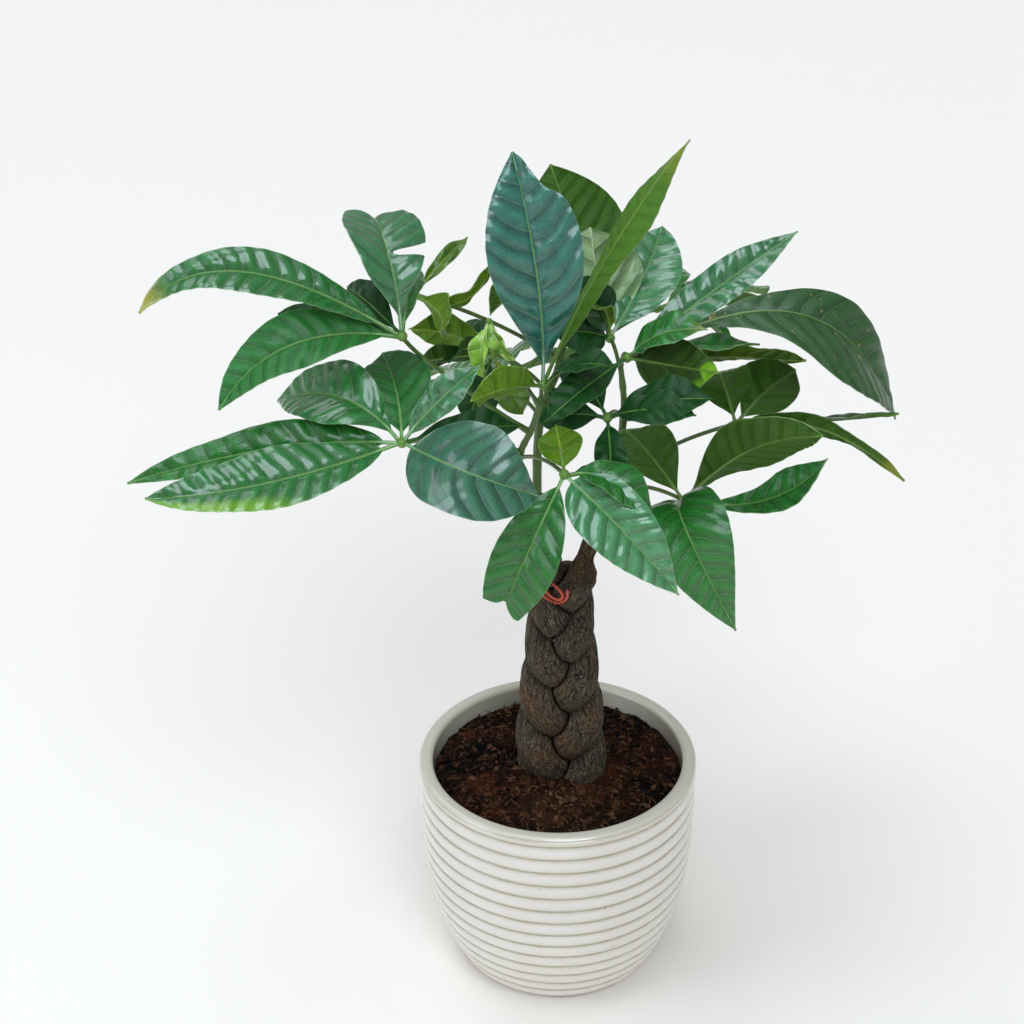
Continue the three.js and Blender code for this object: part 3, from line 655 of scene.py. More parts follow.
def ramp(add, value, low, high, first=0, last=1, kind="LINEAR"):
    """Carry a value from the range low to high over to the range first to last."""
    return add("MapRange", {"Value": value, "From Min": low, "From Max": high, "To Min": first,
                            "To Max": last}, interpolation_type=kind)[0]


soft_ramp = partial(ramp, kind="SMOOTHSTEP")


def blend(add, share, first, second):
    """A mix of two colours."""
    return add("MixRGB", {"Fac": share, "Color1": rgba(first), "Color2": rgba(second)})[0]


def surface(material, add, colour, height, strength, millimetres, sockets):
    """Finish a material with its colour, its bump and the rest of its sockets."""
    normal = add("Bump", {"Height": height, "Strength": strength, "Distance": millimetres * MM})[0]
    shader = add("BsdfPrincipled", {"Base Color": colour, "Normal": normal, **sockets})[0]
    add("OutputMaterial", {"Surface": shader})
    return material


# Pot

def pot_radius(z):
    return RIM_RADIUS - RIB_REACH - FOOT_DRAW_IN * ((RIM_HEIGHT - z) / RIM_HEIGHT) ** FOOT_CURVE


def inner_radius(z):
    return pot_radius(z) + RIB_REACH - WALL


def groove_heights():
    heights = [RIM_HEIGHT - LIP_BAND]
    while len(heights) < RIB_COUNT:
        z = heights[-1]
        heights.append(z - RIB_SPACING / math.hypot(1, pot_radius(z) - pot_radius(z - 1)))
    return heights


def lip_ring(edge, way, turn):
    """A ring of the rounded lip. Its way is -1 on the outer wall and 1 on the inner."""
    angle = math.radians(turn)
    return (edge + way * LIP_ROUND * (1 - math.cos(angle)),
            RIM_HEIGHT - LIP_ROUND * (1 - math.sin(angle)))


def pot_profile(rib_depth):
    """Radius and height of each ring, from the foot up the outside and down the inside."""
    heights = groove_heights()
    foot = pot_radius(0) - FOOT_INSET
    rings = [(foot + FOOT_INSET * out, z) for out, z in FOOT_RINGS]
    tops = [RIM_HEIGHT - LIP_ROUND, *heights[:-1]]
    for low, high in zip(reversed(heights), reversed(tops)):
        for share in RIB_SHARES:
            z = mix(low, high, share)
            rings.append((pot_radius(z) + RIB_REACH - rib_depth * abs(2 * share - 1) ** RIB_FULLNESS, z))
    rings += [lip_ring(RIM_RADIUS, -1, turn) for turn in LIP_OUTER_TURNS]
    rings += [lip_ring(RIM_RADIUS - WALL, 1, turn) for turn in LIP_INNER_TURNS]
    rings += [(inner_radius(z), z) for z in INNER_HEIGHTS]
    rings.append((inner_radius(INNER_CORNER) - CORNER_ROUND, FLOOR))
    return rings


def glazed_stoneware(settings):
    """Stoneware thrown with ribs and dipped in a milky glaze. The glaze breaks to brown in the grooves,
    gathers white on the ribs, and shines like glass. The rim's top band and the inside wall are tinted
    olive-beige as painted shade."""
    material, add = new_material("glazed_stoneware")
    groove, height, inside = parts(add, kept(add, "glaze_mm"))
    spot = add("TexCoord")["Object"]
    body = blend(add, cloud(add, spot, 28, 2), "dcd7cb", settings.glaze)
    # Painted shade: the rim's top band and the inside wall are tinted olive-beige
    thick = maths(add, "MAXIMUM", soft_ramp(add, height, 121, 127, 0, 0.45), inside)
    rim_shaded_glaze = blend(add, thick, body, "c9c1a4")
    reach = ramp(add, cloud(add, spot, 160, 3), 0.3, 0.7, 0.7, 1.5)
    thin = soft_ramp(add, groove, 0, reach, 0.8, 0)
    warm = blend(add, soft_ramp(add, groove, 0, 3.2, 0.4, 0), rim_shaded_glaze, "c6bba2")
    broken = blend(add, thin, warm, settings.groove)
    grit = add("TexVoronoi", {"Vector": spot, "Scale": 170, "Randomness": 1})["Distance"]
    limit = ramp(add, cloud(add, spot, 70, 1), 0.6, 0.75, 0, 0.11)
    colour = blend(add, maths(add, "LESS_THAN", grit, limit), broken, settings.speck)
    dents = maths(add, "MULTIPLY_ADD", grit, 0.06, cloud(add, spot, 60, 2))
    return surface(material, add, colour, dents, 0.25, 0.6, {
        "Roughness": ramp(add, thin, 0, 1, 0.13, 0.42), "IOR": 1.52,
        "Coat Weight": 0.5, "Coat Roughness": 0.06, "Coat IOR": 1.5})


class MONEYTREE_OT_pot(bpy.types.Operator):
    """Model the ribbed, glazed pot"""
    bl_idname = "money_tree.pot"
    bl_label = "Pot"

    def execute(self, context):
        settings = context.scene.money_tree_pot
        (radius, height), *rings = pot_profile(settings.rib_depth / MM)
        deselect()
        bpy.ops.mesh.primitive_circle_add(vertices=POT_SIDES, radius=radius * MM, fill_type="NGON")
        pot = context.object
        bpy.ops.object.mode_set(mode="EDIT")
        for next_radius, next_height in rings:
            step = (0, 0, (next_height - height) * MM)
            bpy.ops.mesh.extrude_region_move(TRANSFORM_OT_translate={"value": step})
            share = next_radius / radius
            bpy.ops.transform.resize(value=(share, share, 1), center_override=(0, 0, next_height * MM))
            radius, height = next_radius, next_height
        bpy.ops.mesh.select_all(action="SELECT")
        bpy.ops.mesh.normals_make_consistent(inside=False)
        bpy.ops.object.mode_set(mode="OBJECT")
        bpy.ops.object.shade_smooth_by_angle(angle=math.radians(60))
        x, y, z = points_of(pot).T
        gap = np.abs(z[:, None] - np.array(groove_heights())).min(axis=1)
        outside = np.hypot(x, y) > pot_radius(np.minimum(z, RIM_HEIGHT)) - OUTSIDE_MARGIN
        ribbed = outside & (z < RIM_HEIGHT - LIP_ROUND)
        # The inside wall's share of the painted shade
        inside = INNER_SHADE * ~outside * (z > FLOOR / 2)
        keep_vectors(pot, "glaze_mm", np.where(ribbed, gap, FAR_FROM_GROOVE), z, inside)
        pot.data.materials.append(glazed_stoneware(settings))
        give(pot, "glazed_pot", "glaze", "pot")
        return {"FINISHED"}


# Soil

def soil_height(x, y):
    share = math.hypot(x, y) / (inner_radius(SOIL_LEVEL) - SOIL_SIDE_GAP)
    spot = Vector((x, y, LUMPS_SLICE))
    lumps = sum(height * noise.noise(spot / width) for height, width in SOIL_LUMPS)
    edge = SOIL_EDGE_DROP * max(0, share - 0.9) / 0.1
    return SOIL_LEVEL + SOIL_MOUND * (1 - share) - edge + lumps * (1.1 - 0.5 * share)


def soil_heights(xs, ys):
    return np.array([soil_height(x, y) for x, y in zip(xs, ys)])


def coir_bed(settings):
    """Potting mix of chopped coir and peat, damp and rough. It reads as almost black
    crumbs with reddish-brown chips, and a few pale dry fibres catch the light."""
    material, add = new_material("coir_potting_mix")
    tone, pale, _ = parts(add, kept(add, "soil_bit"))
    spot = add("TexCoord")["Object"]
    crumbs = cloud(add, spot, 420, 5, 0.7)
    mixed = maths(add, "MULTIPLY", crumbs, cloud(add, spot, 45, 3))
    lift = maths(add, "MULTIPLY", ramp(add, mixed, 0.22, 0.36), tone)
    colour = blend(add, pale, blend(add, lift, settings.earth, settings.chip), settings.fibre)
    return surface(material, add, colour, crumbs, 1, 2, {"Roughness": 0.95, "Specular IOR Level": 0.12})


def soil_sheet():
    """The bed itself, a lumpy top with sides that go down inside the pot."""
    sheet, angle, seam, along = rolled_grid(*SOIL_GRID)
    share = np.minimum(along / SOIL_TOP_SHARE, 1)
    edge = inner_radius(SOIL_LEVEL) - SOIL_SIDE_GAP
    radius = np.maximum(edge * (1 - (1 - share) ** 1.2), 0.02)
    x, y = radius * np.cos(angle), radius * np.sin(angle)
    z = soil_heights(np.where(seam, radius, x), np.where(seam, 0, y))
    side = along > SOIL_TOP_SHARE
    deep = np.clip((along - SOIL_TOP_SHARE) / (1 - SOIL_TOP_SHARE), 0, 1)
    z = np.where(side, z - SOIL_SIDE_DEPTH * deep, z)
    wall = inner_radius(np.minimum(z, SOIL_TOP)) - SOIL_SIDE_GAP
    radius = np.where(side, np.minimum(radius, wall), radius)
    place(sheet, np.column_stack([radius * np.cos(angle), -radius * np.sin(angle), z]))
    return closed(sheet)


def chip(rng, shape, x, y):
    """Points of one chip: a jagged flake, turned at random, sunk a little into the bed."""
    length = rng.gamma(2.4, 0.5) + 0.5
    size = np.array([length, length * rng.uniform(0.3, 0.6), length * rng.uniform(0.15, 0.4)])
    size = np.minimum(size, CHIP_LARGEST)
    turn = Matrix.Rotation(rng.uniform(0, TAU), 3, "Z") @ Matrix.Rotation(rng.normal(0, 0.5), 3, "Y")
    jagged = shape * rng.uniform(0.65, 1.25, (len(shape), 1)) * size
    return jagged @ np.array(turn).T + (x, y, soil_height(x, y) + size[2] * CHIP_SUNK)


def fibre(rng, x, y):
    """Points of one fibre: a thin curling hair that humps over the bed, ring by ring."""
    length = rng.uniform(2, 11)
    heading, curl = rng.uniform(0, TAU), rng.normal(0, 0.17)
    headings = heading + curl * np.arange(FIBRE_STEPS)
    xs = x + np.cumsum(np.cos(headings)) * length / FIBRE_STEPS
    ys = y + np.cumsum(np.sin(headings)) * length / FIBRE_STEPS
    inside = np.minimum(1, FIBRE_REACH / np.maximum(np.hypot(xs, ys), 1e-6))
    xs, ys = xs * inside, ys * inside
    raised = rng.uniform(0.2, 2.2) * np.sin(np.linspace(0, math.pi, FIBRE_STEPS))
    path = np.column_stack([xs, ys, soil_heights(xs, ys) + 0.5 + raised])
    ahead = unit(np.gradient(path, axis=0))
    side = unit(np.cross(ahead, (0.1, 0.2, 1)))
    up = np.cross(side, ahead)
    thick = rng.uniform(0.07, 0.2) * np.array(FIBRE_TAPER)[:, None]
    ring = [path + thick * (math.cos(a) * side + math.sin(a) * up)
            for a in TAU * np.arange(FIBRE_SIDES) / FIBRE_SIDES]
    return np.stack(ring, axis=1).reshape(-1, 3)


def fibre_faces():
    """Triangles of a fibre: its three sides, ring by ring, and its two ends."""
    faces = []
    for first in range(0, (FIBRE_STEPS - 1) * FIBRE_SIDES, FIBRE_SIDES):
        for k in range(FIBRE_SIDES):
            a, b = first + k, first + (k + 1) % FIBRE_SIDES
            faces += [(a, b, b + FIBRE_SIDES), (a, b + FIBRE_SIDES, a + FIBRE_SIDES)]
    last = (FIBRE_STEPS - 1) * FIBRE_SIDES
    return np.array([*faces, (2, 1, 0), (last, last + 1, last + 2)])


def near(x, y, patch):
    """How near a spot is to the middle of a patch, from 0 to 1."""
    (patch_x, patch_y), spread = patch
    return np.exp(-((x - patch_x) ** 2 + (y - patch_y) ** 2) / spread)


def soil_bits(settings):
    """Chips and fibres that lie on the bed, each turned and sized by a fixed seed."""
    rng = np.random.default_rng(BITS_SEED)
    deselect()
    bpy.ops.mesh.primitive_ico_sphere_add(subdivisions=1, radius=1)
    ball = bpy.context.object
    shape = points_of(ball) * MM
    chip_faces = np.array([face.vertices[:] for face in ball.data.polygons])
    bpy.data.objects.remove(ball)
    centres = [trunk_centre(trunk, SOIL_LEVEL + 2) for trunk in TRUNKS.values()]

    def free_spot(reach):
        while True:
            radius = reach * math.sqrt(rng.random())
            angle = TAU * rng.random()
            x, y = radius * math.cos(angle), radius * math.sin(angle)
            if all(math.hypot(x - c[0], y - c[1]) > TRUNK_ROOM for c in centres):
                return x, y

    points, faces, marks = [], [], []
    for _ in range(settings.chips):
        x, y = free_spot(CHIP_REACH)
        points.append(chip(rng, shape, x, y))
        faces.append(chip_faces)
        light = 0.5 * rng.random() ** 4 + 0.8 * near(x, y, FRONT_PALE_CHIPS) * rng.random() ** 1.5
        marks.append((rng.uniform(0.1, 1.5), light, 0))
    for _ in range(settings.fibres):
        points.append(fibre(rng, *free_spot(FIBRE_REACH)))
        faces.append(fibre_faces())
        marks.append((0.9, rng.random() ** 3, 0))
    counts = [len(bit) for bit in points]
    starts = np.cumsum([0, *counts[:-1]])
    corners = np.vstack([bit + start for bit, start in zip(faces, starts)])
    mesh = bpy.data.meshes.new("soil_bits")
    mesh.from_pydata(np.vstack(points) * MM, [], corners.tolist())
    bits = bpy.data.objects.new("soil_bits", mesh)
    bpy.context.collection.objects.link(bits)
    keep_vectors(bits, "soil_bit", *np.repeat(marks, counts, axis=0).T)
    return bits


class MONEYTREE_OT_soil(bpy.types.Operator):
    """Model the bed of coir and peat"""
    bl_idname = "money_tree.soil"
    bl_label = "Soil"

    def execute(self, context):
        settings = context.scene.money_tree_soil
        sheet = soil_sheet()
        x, y, _ = points_of(sheet).T
        keep_vectors(sheet, "soil_bit", 0.6, 0.12 * near(x, y, FRONT_PALE_CRUMBS), 0)
        bed = joined([sheet, soil_bits(settings)])
        bed.data.materials.clear()
        bed.data.materials.append(coir_bed(settings))
        give(bed, "coir_soil", "soil", "soil")
        return {"FINISHED"}


# Trunks

def trunk_centre(trunk, z):
    """The middle of a trunk at each height."""
    z = np.asarray(z, dtype=float)
    top_x, top_y, top_z = trunk["top"]
    angle = math.radians(PLAIT_PHASE + trunk["phase"]) + TAU * (z - PLAIT_PHASE_HEIGHT) / PLAIT_PITCH
    swing = mix(SWING_BOTTOM, SWING_TOP, climb(z))
    parted = smooth((z - trunk["parting"]) / (top_z - trunk["parting"]))
    return np.stack([
        mix(PLAIT_OFFSET + swing * np.sin(angle), top_x, parted),
        mix(-DEPTH_SWING * np.sin(2 * angle), top_y, parted), z], axis=-1)


def climb(z):
    return smooth((z - TRUNK_BOTTOM) / (TRUNK_SPLIT - TRUNK_BOTTOM))


def trunk_radius(z):
    high = mix(TRUNK_RADIUS_SPLIT, TRUNK_RADIUS_TOP, smooth((z - TRUNK_SPLIT) / TRUNK_THINNING))
    return np.where(z > TRUNK_SPLIT, high, mix(TRUNK_RADIUS_BOTTOM, TRUNK_RADIUS_SPLIT, climb(z)))


def distance_to(trunk, points):
    """Each point's distance to the line of a trunk, in slabs to keep the arrays small."""
    line = trunk_centre(trunk, np.linspace(TRUNK_FOOT, trunk["top"][2], TRUNK_LINE_POINTS))
    start, step = line[:-1], np.diff(line, axis=0)
    nearest = []
    for first in range(0, len(points), SLAB):
        gap = points[first:first + SLAB, None, :] - start[None]
        share = np.clip(np.einsum("psk,sk->ps", gap, step) / (step ** 2).sum(axis=1), 0, 1)
        nearest.append(np.linalg.norm(gap - share[..., None] * step, axis=-1).min(axis=1))
    return np.concatenate(nearest)


def trunk_reach(name, centres, angles):
    """How far a trunk reaches from its middle in level directions. It is round on its free
    side and flat against the trunks that press on it."""
    out = level(angles)

    def inside(radius):
        points = centres + out * radius[:, None]
        own = distance_to(TRUNKS[name], points)
        free = np.minimum(*(distance_to(other, points) for key, other in TRUNKS.items() if key != name))
        return (own < trunk_radius(points[:, 2])) & (free - own > PLAIT_GAP)

    low = np.full(len(centres), TRUNK_STEP)
    growing = np.ones(len(centres), bool)
    while growing.any():
        growing &= inside(low + TRUNK_STEP)
        low[growing] += TRUNK_STEP
    high = low + TRUNK_STEP
    for _ in range(TRUNK_HALVINGS):
        middle = (low + high) / 2
        held = inside(middle)
        low, high = np.where(held, middle, low), np.where(held, high, middle)
    return low


def wrinkled_bark(settings):
    """Young pachira bark, grey-brown and corky, wrinkled lengthwise by the plaiting. The ridges are pale,
    partly as dry bark and partly as painted highlight; the crevices are almost black as painted shade; and
    rusty patches show fresh cork."""
    material, add = new_material("wrinkled_bark")
    stem = kept(add, "stem_mm")
    fold = cloud(add, add("Mapping", {"Vector": stem, "Scale": (0.85, 0.85, 0.06)})[0], 1, 6, 0.62)
    strand = cloud(add, add("Mapping", {"Vector": stem, "Scale": (2.8, 2.8, 0.14)})[0], 1, 4, 0.7)
    # Painted shade: the folds' low parts take the near-black crevice colour
    base = blend(add, soft_ramp(add, fold, 0.42, 0.58), settings.crevice_shade, settings.bark)
    patches = cloud(add, add("TexCoord")["Object"], 34, 3)
    tinted = blend(add, soft_ramp(add, patches, 0.5, 0.68, 0, 0.65), base, settings.rust)
    # Painted highlight and dust on the strands' tops, then painted shade in their low parts
    dusty = blend(add, ramp(add, strand, 0.5, 0.64, 0, 0.95), tinted, "a3957b")
    colour = blend(add, ramp(add, strand, 0.32, 0.5, 0.9, 0), dusty, settings.crevice_shade)
    height = maths(add, "MULTIPLY_ADD", strand, 0.45, fold)
    return surface(material, add, colour, height, 1, 3.6, {"Roughness": 0.7, "Specular IOR Level": 0.25})


def bark_relief(spot):
    """Depth of the bark's wrinkles at a spot: wide folds, and creases where noise turns over."""
    crease = abs(noise.noise(spot * CREASE_PITCH))
    return FOLD_DEPTH * max(0, -noise.noise(spot * FOLD_PITCH)) + CREASE_DEPTH * (0.5 - min(crease, 0.5))


def trunk_piece(name, wrinkle):
    """A trunk in level slices, wrinkled inwards, with a rounded top."""
    trunk = TRUNKS[name]
    top = trunk["top"][2]
    sheet, angle, seam, along = rolled_grid(*TRUNK_GRID)
    slices = TRUNK_GRID[1]
    row, body = along * slices, slices - TRUNK_CAP_SLICES
    cap = np.clip((row - body) / TRUNK_CAP_SLICES, 0, 1) * math.pi / 2
    z = mix(TRUNK_FOOT, top, np.minimum(row / body, 1)) + TRUNK_CAP_HEIGHT * np.sin(cap)
    dome = np.cos(cap * TRUNK_CAP_SHARE)
    middle = trunk_centre(trunk, np.minimum(z, top))
    radius = trunk_reach(name, middle, np.where(seam, 0, angle)) * dome
    out = level(angle)
    shift = BARK_SHIFT * list(TRUNKS).index(name)
    flat = np.where(seam[:, None], (1, 0, 0), out) * radius[:, None]
    relief = np.array([bark_relief(Vector((x, y, height * BARK_STRETCH + shift)))
                       for (x, y, _), height in zip(flat, z)])
    out *= np.maximum(radius - wrinkle * relief * dome, 0.3)[:, None]
    place(sheet, np.column_stack([middle[:, :2], z]) + out)
    keep_vectors(sheet, "stem_mm", *out.T[:2], z + shift)
    return closed(sheet)


class MONEYTREE_OT_trunks(bpy.types.Operator):
    """Model the three plaited trunks"""
    bl_idname = "money_tree.trunks"
    bl_label = "Trunks"

    def execute(self, context):
        settings = context.scene.money_tree_stem
        bark = wrinkled_bark(settings)
        for name in TRUNKS:
            piece = trunk_piece(name, settings.wrinkle / MM)
            piece.data.materials.append(bark)
            give(piece, "bark_" + name, "bark", name)
        return {"FINISHED"}


# Wire and shoots

def curve_through(points, shares):
    """A smooth curve through points, as the part's source draws it: its knots are as far
    apart as the square roots of the distances between the points."""
    knots = np.array(points, dtype=float)
    knots = np.vstack([2 * knots[0] - knots[1], knots, 2 * knots[-1] - knots[-2]])
    result = []
    for share in shares:
        spot = min(share, 1 - 1e-9) * (len(points) - 1)
        first = int(spot)
        t = spot - first
        p = knots[first:first + 4]
        d = np.maximum(np.sqrt(np.linalg.norm(np.diff(p, axis=0), axis=1)), 1e-4)
        before, ahead, after = np.diff(p, axis=0) / d[:, None]
        start = (before - (p[2] - p[0]) / (d[0] + d[1]) + ahead) * d[1]
        end = (ahead - (p[3] - p[1]) / (d[1] + d[2]) + after) * d[1]
        result.append((2 * t ** 3 - 3 * t ** 2 + 1) * p[1] + (t ** 3 - 2 * t ** 2 + t) * start
                      + (3 * t ** 2 - 2 * t ** 3) * p[2] + (t ** 3 - t ** 2) * end)
    return np.array(result)


def coated_wire(settings):
    """Plant tie of soft wire in a red plastic coat, evenly extruded, with a dull shine."""
    material, add = new_material("plastic_coated_wire")
    scuff = cloud(add, add("TexCoord")["Object"], 500, 3)
    colour = blend(add, scuff, settings.wire, "c8583c")
    return surface(material, add, colour, scuff, 0.3, 0.15, {"Roughness": 0.42, "IOR": 1.5})


class MONEYTREE_OT_wire(bpy.types.Operator):
    """Model the wire tie with its curled ends"""
    bl_idname = "money_tree.wire"
    bl_label = "Wire tie"

    def execute(self, context):
        t = np.arange(WIRE_TURN_STEPS + 1) / WIRE_TURN_STEPS
        centres = trunk_centre(TRUNKS[WIRE_TRUNK], WIRE_HEIGHT + WIRE_CLIMB * t)
        angles = np.radians(mix(*WIRE_TURN, t))
        reach = trunk_reach(WIRE_TRUNK, centres, angles) + WIRE_LIFT
        turn = centres + level(angles) * reach[:, None]
        radii = np.full(WIRE_STEPS, WIRE_RADIUS)
        radii[:2] = radii[-1:-3:-1] = WIRE_RADIUS * np.array(WIRE_END_TAPER)
        line = curve_through([*WIRE_LEFT_END, *turn, *WIRE_RIGHT_END], np.linspace(0, 1, WIRE_STEPS))
        wire = tube(line, radii)
        wire.data.materials.append(coated_wire(context.scene.money_tree_stem))
        give(wire, "coated_wire_tie", "wire", "wire_tie")
        return {"FINISHED"}


def green_shoot(settings):
    """Young green stem and leaf stalk, fine-ribbed and waxy, browner where it is older."""
    material, add = new_material("green_shoot")
    spot = add("TexCoord")["Object"]
    streak = cloud(add, add("Mapping", {"Vector": spot, "Scale": (700, 700, 90)})[0], 1, 3)
    young = blend(add, cloud(add, spot, 30, 2), settings.shoot, "5f7d33")
    colour = blend(add, ramp(add, streak, 0.5, 0.7, 0, 0.6), young, "26361a")
    return surface(material, add, colour, streak, 0.6, 0.3, {
        "Roughness": 0.4, "Subsurface Weight": 0.1, "Subsurface Scale": MM,
        "Subsurface Radius": (0.8, 1.0, 0.3)})


class MONEYTREE_OT_shoots(bpy.types.Operator):
    """Model the green shoots, swollen where leaves grow from them"""
    bl_idname = "money_tree.shoots"
    bl_label = "Shoots"

    def execute(self, context):
        material = green_shoot(context.scene.money_tree_stem)
        shares = np.linspace(0, 1, SHOOT_STEPS)
        scars = 0.25 * hump(np.sin(19 * shares), 0, 0.25)
        for name, shoot in SHOOTS.items():
            leaves = [leaf["at"] for leaf in LEAVES.values() if leaf["shoot"] == name]
            swelling = 0.3 * sum(hump(shares, at, 0.03) for at in leaves)
            radii = SHOOT_SLIMNESS * mix(*shoot["radius"], shares) + swelling + scars
            radii[-3:] *= SHOOT_END_TAPER
            piece = tube(curve_through(shoot["points"], shares), radii, sides=6)
            piece.data.materials.append(material)
            give(piece, "green_shoot_" + name, "shoot", "shoot_" + name)
        return {"FINISHED"}


# Leaves

def blade_share(t, belly):
    """Half the width of a leaflet, as a share of its widest, from its stalk to its tip."""
    s = np.clip((t - STALK_SHARE) / (1 - STALK_SHARE), 0, 1)
    power = belly / (1 - belly)
    return s ** power * (1 - s) / (belly ** power * (1 - belly))


def leaflet_frame(leaf, leaflet, t):
    """Points of the midrib with the directions across and up at each."""
    hub, tip = np.array(leaf["hub"], float), np.array(leaflet["tip"], float)
    chord = unit(tip - hub)
    start = hub + chord * HUB_SOCKET
    up = np.array(leaflet.get("face", leaf["face"]), float)
    up = unit(up - chord * up.dot(chord))
    roll = Matrix.Rotation(math.radians(leaflet.get("roll", 0)), 3, Vector(chord))
    up = np.array(roll @ Vector(up))
    middle = leaflet["mid"] or (start + tip) / 2 + up * leaflet.get("rise", RISE)
    control = 2 * np.array(middle) - 0.5 * start - 0.5 * tip
    t = t[:, None]
    ahead = unit(2 * (1 - t) * (control - start) + 2 * t * (tip - control))
    right = np.cross(chord, up)
    across = unit(right - ahead * (ahead @ right)[:, None])
    return bend(start, control, tip, t), across, np.cross(across, ahead)


def uneven_at(across, along, kind, seed):
    """Gentle unevenness of a blade, from -1 to 1, in waves of about 1 / pitch millimetres."""
    pitch, shift = kind
    spots = (Vector((a * pitch, b * pitch, shift + seed)) for a, b in zip(across, along))
    return np.array([noise.noise(spot) for spot in spots])


def half_width(leaflet, s, t):
    """Half the width of a blade at each point, with what is bitten out of its sides."""
    least = np.where(t < STALK_END, STALK_HALF_WIDTH, TIP_HALF_WIDTH)
    share = blade_share(t * leaflet.get("cut", 1), leaflet.get("belly", BELLY))
    half = np.maximum(leaflet["width"] / 2 * share, least)
    for side, middle, reach, depth in leaflet.get("bites", ()):
        bitten = np.exp(-((t - middle) / reach) ** 4) * (s * side > 0)
        half = np.maximum(half * (1 - depth * bitten), TIP_HALF_WIDTH)
    return half * (1 + np.sign(s) * leaflet.get("lean", 0))


def leaflet_blade(leaf, leaflet, settings, rng):
    """One leaflet: a thin blade folded along its midrib, swollen between its side veins."""
    finish = leaflet.get("finish", leaf["finish"])
    looks = {**PLAIN_LOOKS, **FINISHES[finish]}
    spacing = settings.vein_spacing / MM * looks["spacing"] * leaflet.get("spacing", 1)
    pillow = settings.pillow / MM * looks["pillow"] * leaflet.get("pillow", 1)
    sheet, flat, t = grid(*BLADE_GRID)
    s = np.sign(flat) * np.abs(flat) ** BLADE_CROWDING
    out = np.abs(s)
    ragged = 0.75 * smooth((s + 0.9) / 1.2) + 0.25 * hump(s, 0.1, 0.15)
    t = t * (1 - leaflet.get("tear", 0) * ragged * t ** 3)
    steps = np.linspace(0, 1, MIDRIB_STEPS)
    strides = np.linalg.norm(np.diff(leaflet_frame(leaf, leaflet, steps)[0], axis=0), axis=1)
    along = np.interp(t, steps, np.concatenate([[0], np.cumsum(strides)]))
    half = half_width(leaflet, s, t)
    side, distance = s * half, out * half
    seed = leaflet["width"]
    wander = VEIN_WANDER * uneven_at(side, along, VEIN_NOISE, seed)
    vein = (along - distance * (VEIN_LEAN + VEIN_CURVE * distance) + wander) / spacing
    phase = vein + 0.5 * (s > 0)
    swell = np.sin(math.pi * phase) ** 2
    uneven = 1 + UNEVENNESS * uneven_at(side, along, SWELL_NOISE, seed)
    dome = pillow * uneven * swell ** 0.6 * smooth(distance / 3.5) * smooth((1 - out) * half / 2.5 + 0.35)
    buckle = BUCKLE * uneven_at(side, along, BUCKLE_NOISE, seed) * smooth(distance / 5)
    ripple = RIPPLE * np.sin(TAU * RIPPLE_COUNT * t + 1.7 * s) * out * smooth(t / 0.3)
    frill = FRILL * np.sin(TAU * phase) * out ** 4 * smooth(half / 8)
    fold = distance * math.tan(math.radians(leaflet.get("fold", FOLD)))
    arch = ARCH * half * np.sin(math.pi * out)
    groove = RIB_GROOVE * hump(distance, 0, 1.1) * smooth(half / 5)
    lift = fold + ripple + frill + arch + dome + buckle - groove + BLADE_THICKNESS / 2
    reach = side * (1 + SCALLOP * np.cos(TAU * phase) * smooth(half / 6) * out ** 2)
    points, across, up = leaflet_frame(leaf, leaflet, t)
    place(sheet, points + across * reach[:, None] + up * lift[:, None])
    lime = np.maximum(leaflet.get("lime_side", 0) * s * smooth((t - 0.15) / 0.5),
                      leaflet.get("lime_tip", 0) * smooth((t - 0.72 - 0.1 * s ** 2) / 0.12))
    keep_vectors(sheet, "leaf_mm", side, along, half)
    keep_vectors(sheet, "leaf_vein", vein, t, rng.uniform(*TONE_RANGE))
    keep_vectors(sheet, "leaf_marks", leaflet.get("tip_yellow", 0), leaflet.get("spots", 0), spacing)
    keep_vectors(sheet, "leaf_lime", lime, lime, lime)
    for side_name in ("upper", "under"):
        sheet.data.materials.append(leaf_material(finish, side_name))
    wall = sheet.modifiers.new("wall", "SOLIDIFY")
    wall.thickness = BLADE_THICKNESS * MM
    wall.offset = -1
    wall.material_offset = 1
    bpy.ops.object.modifier_apply(modifier="wall")
    bpy.ops.object.shade_smooth_by_angle(angle=math.radians(50))
    return sheet


def leaflet_rib(leaf, leaflet):
    """The part of a leaflet's midrib that stands out below its blade."""
    shares = np.linspace(0, RIB_END, RIB_STEPS)
    points, _, up = leaflet_frame(leaf, leaflet, shares)
    thick = mix(*RIB_RADII, smooth(shares / 0.8))
    rib = tube(points + up * (0.15 - thick)[:, None], thick, sides=2)
    rib.data.materials.append(pale_rib())
    return rib


def pale_rib():
    """A leaflet's midrib where it stands out below the blade: pale green, smooth and waxy."""
    name = "pale_leaf_rib"
    if name in bpy.data.materials:
        return bpy.data.materials[name]
    material, add = new_material(name)
    drift = cloud(add, add("TexCoord")["Object"], 120, 2)
    colour = blend(add, drift, "4e7c2a", "769c42")
    return surface(material, add, colour, drift, 0.3, 0.2, {"Roughness": 0.4})


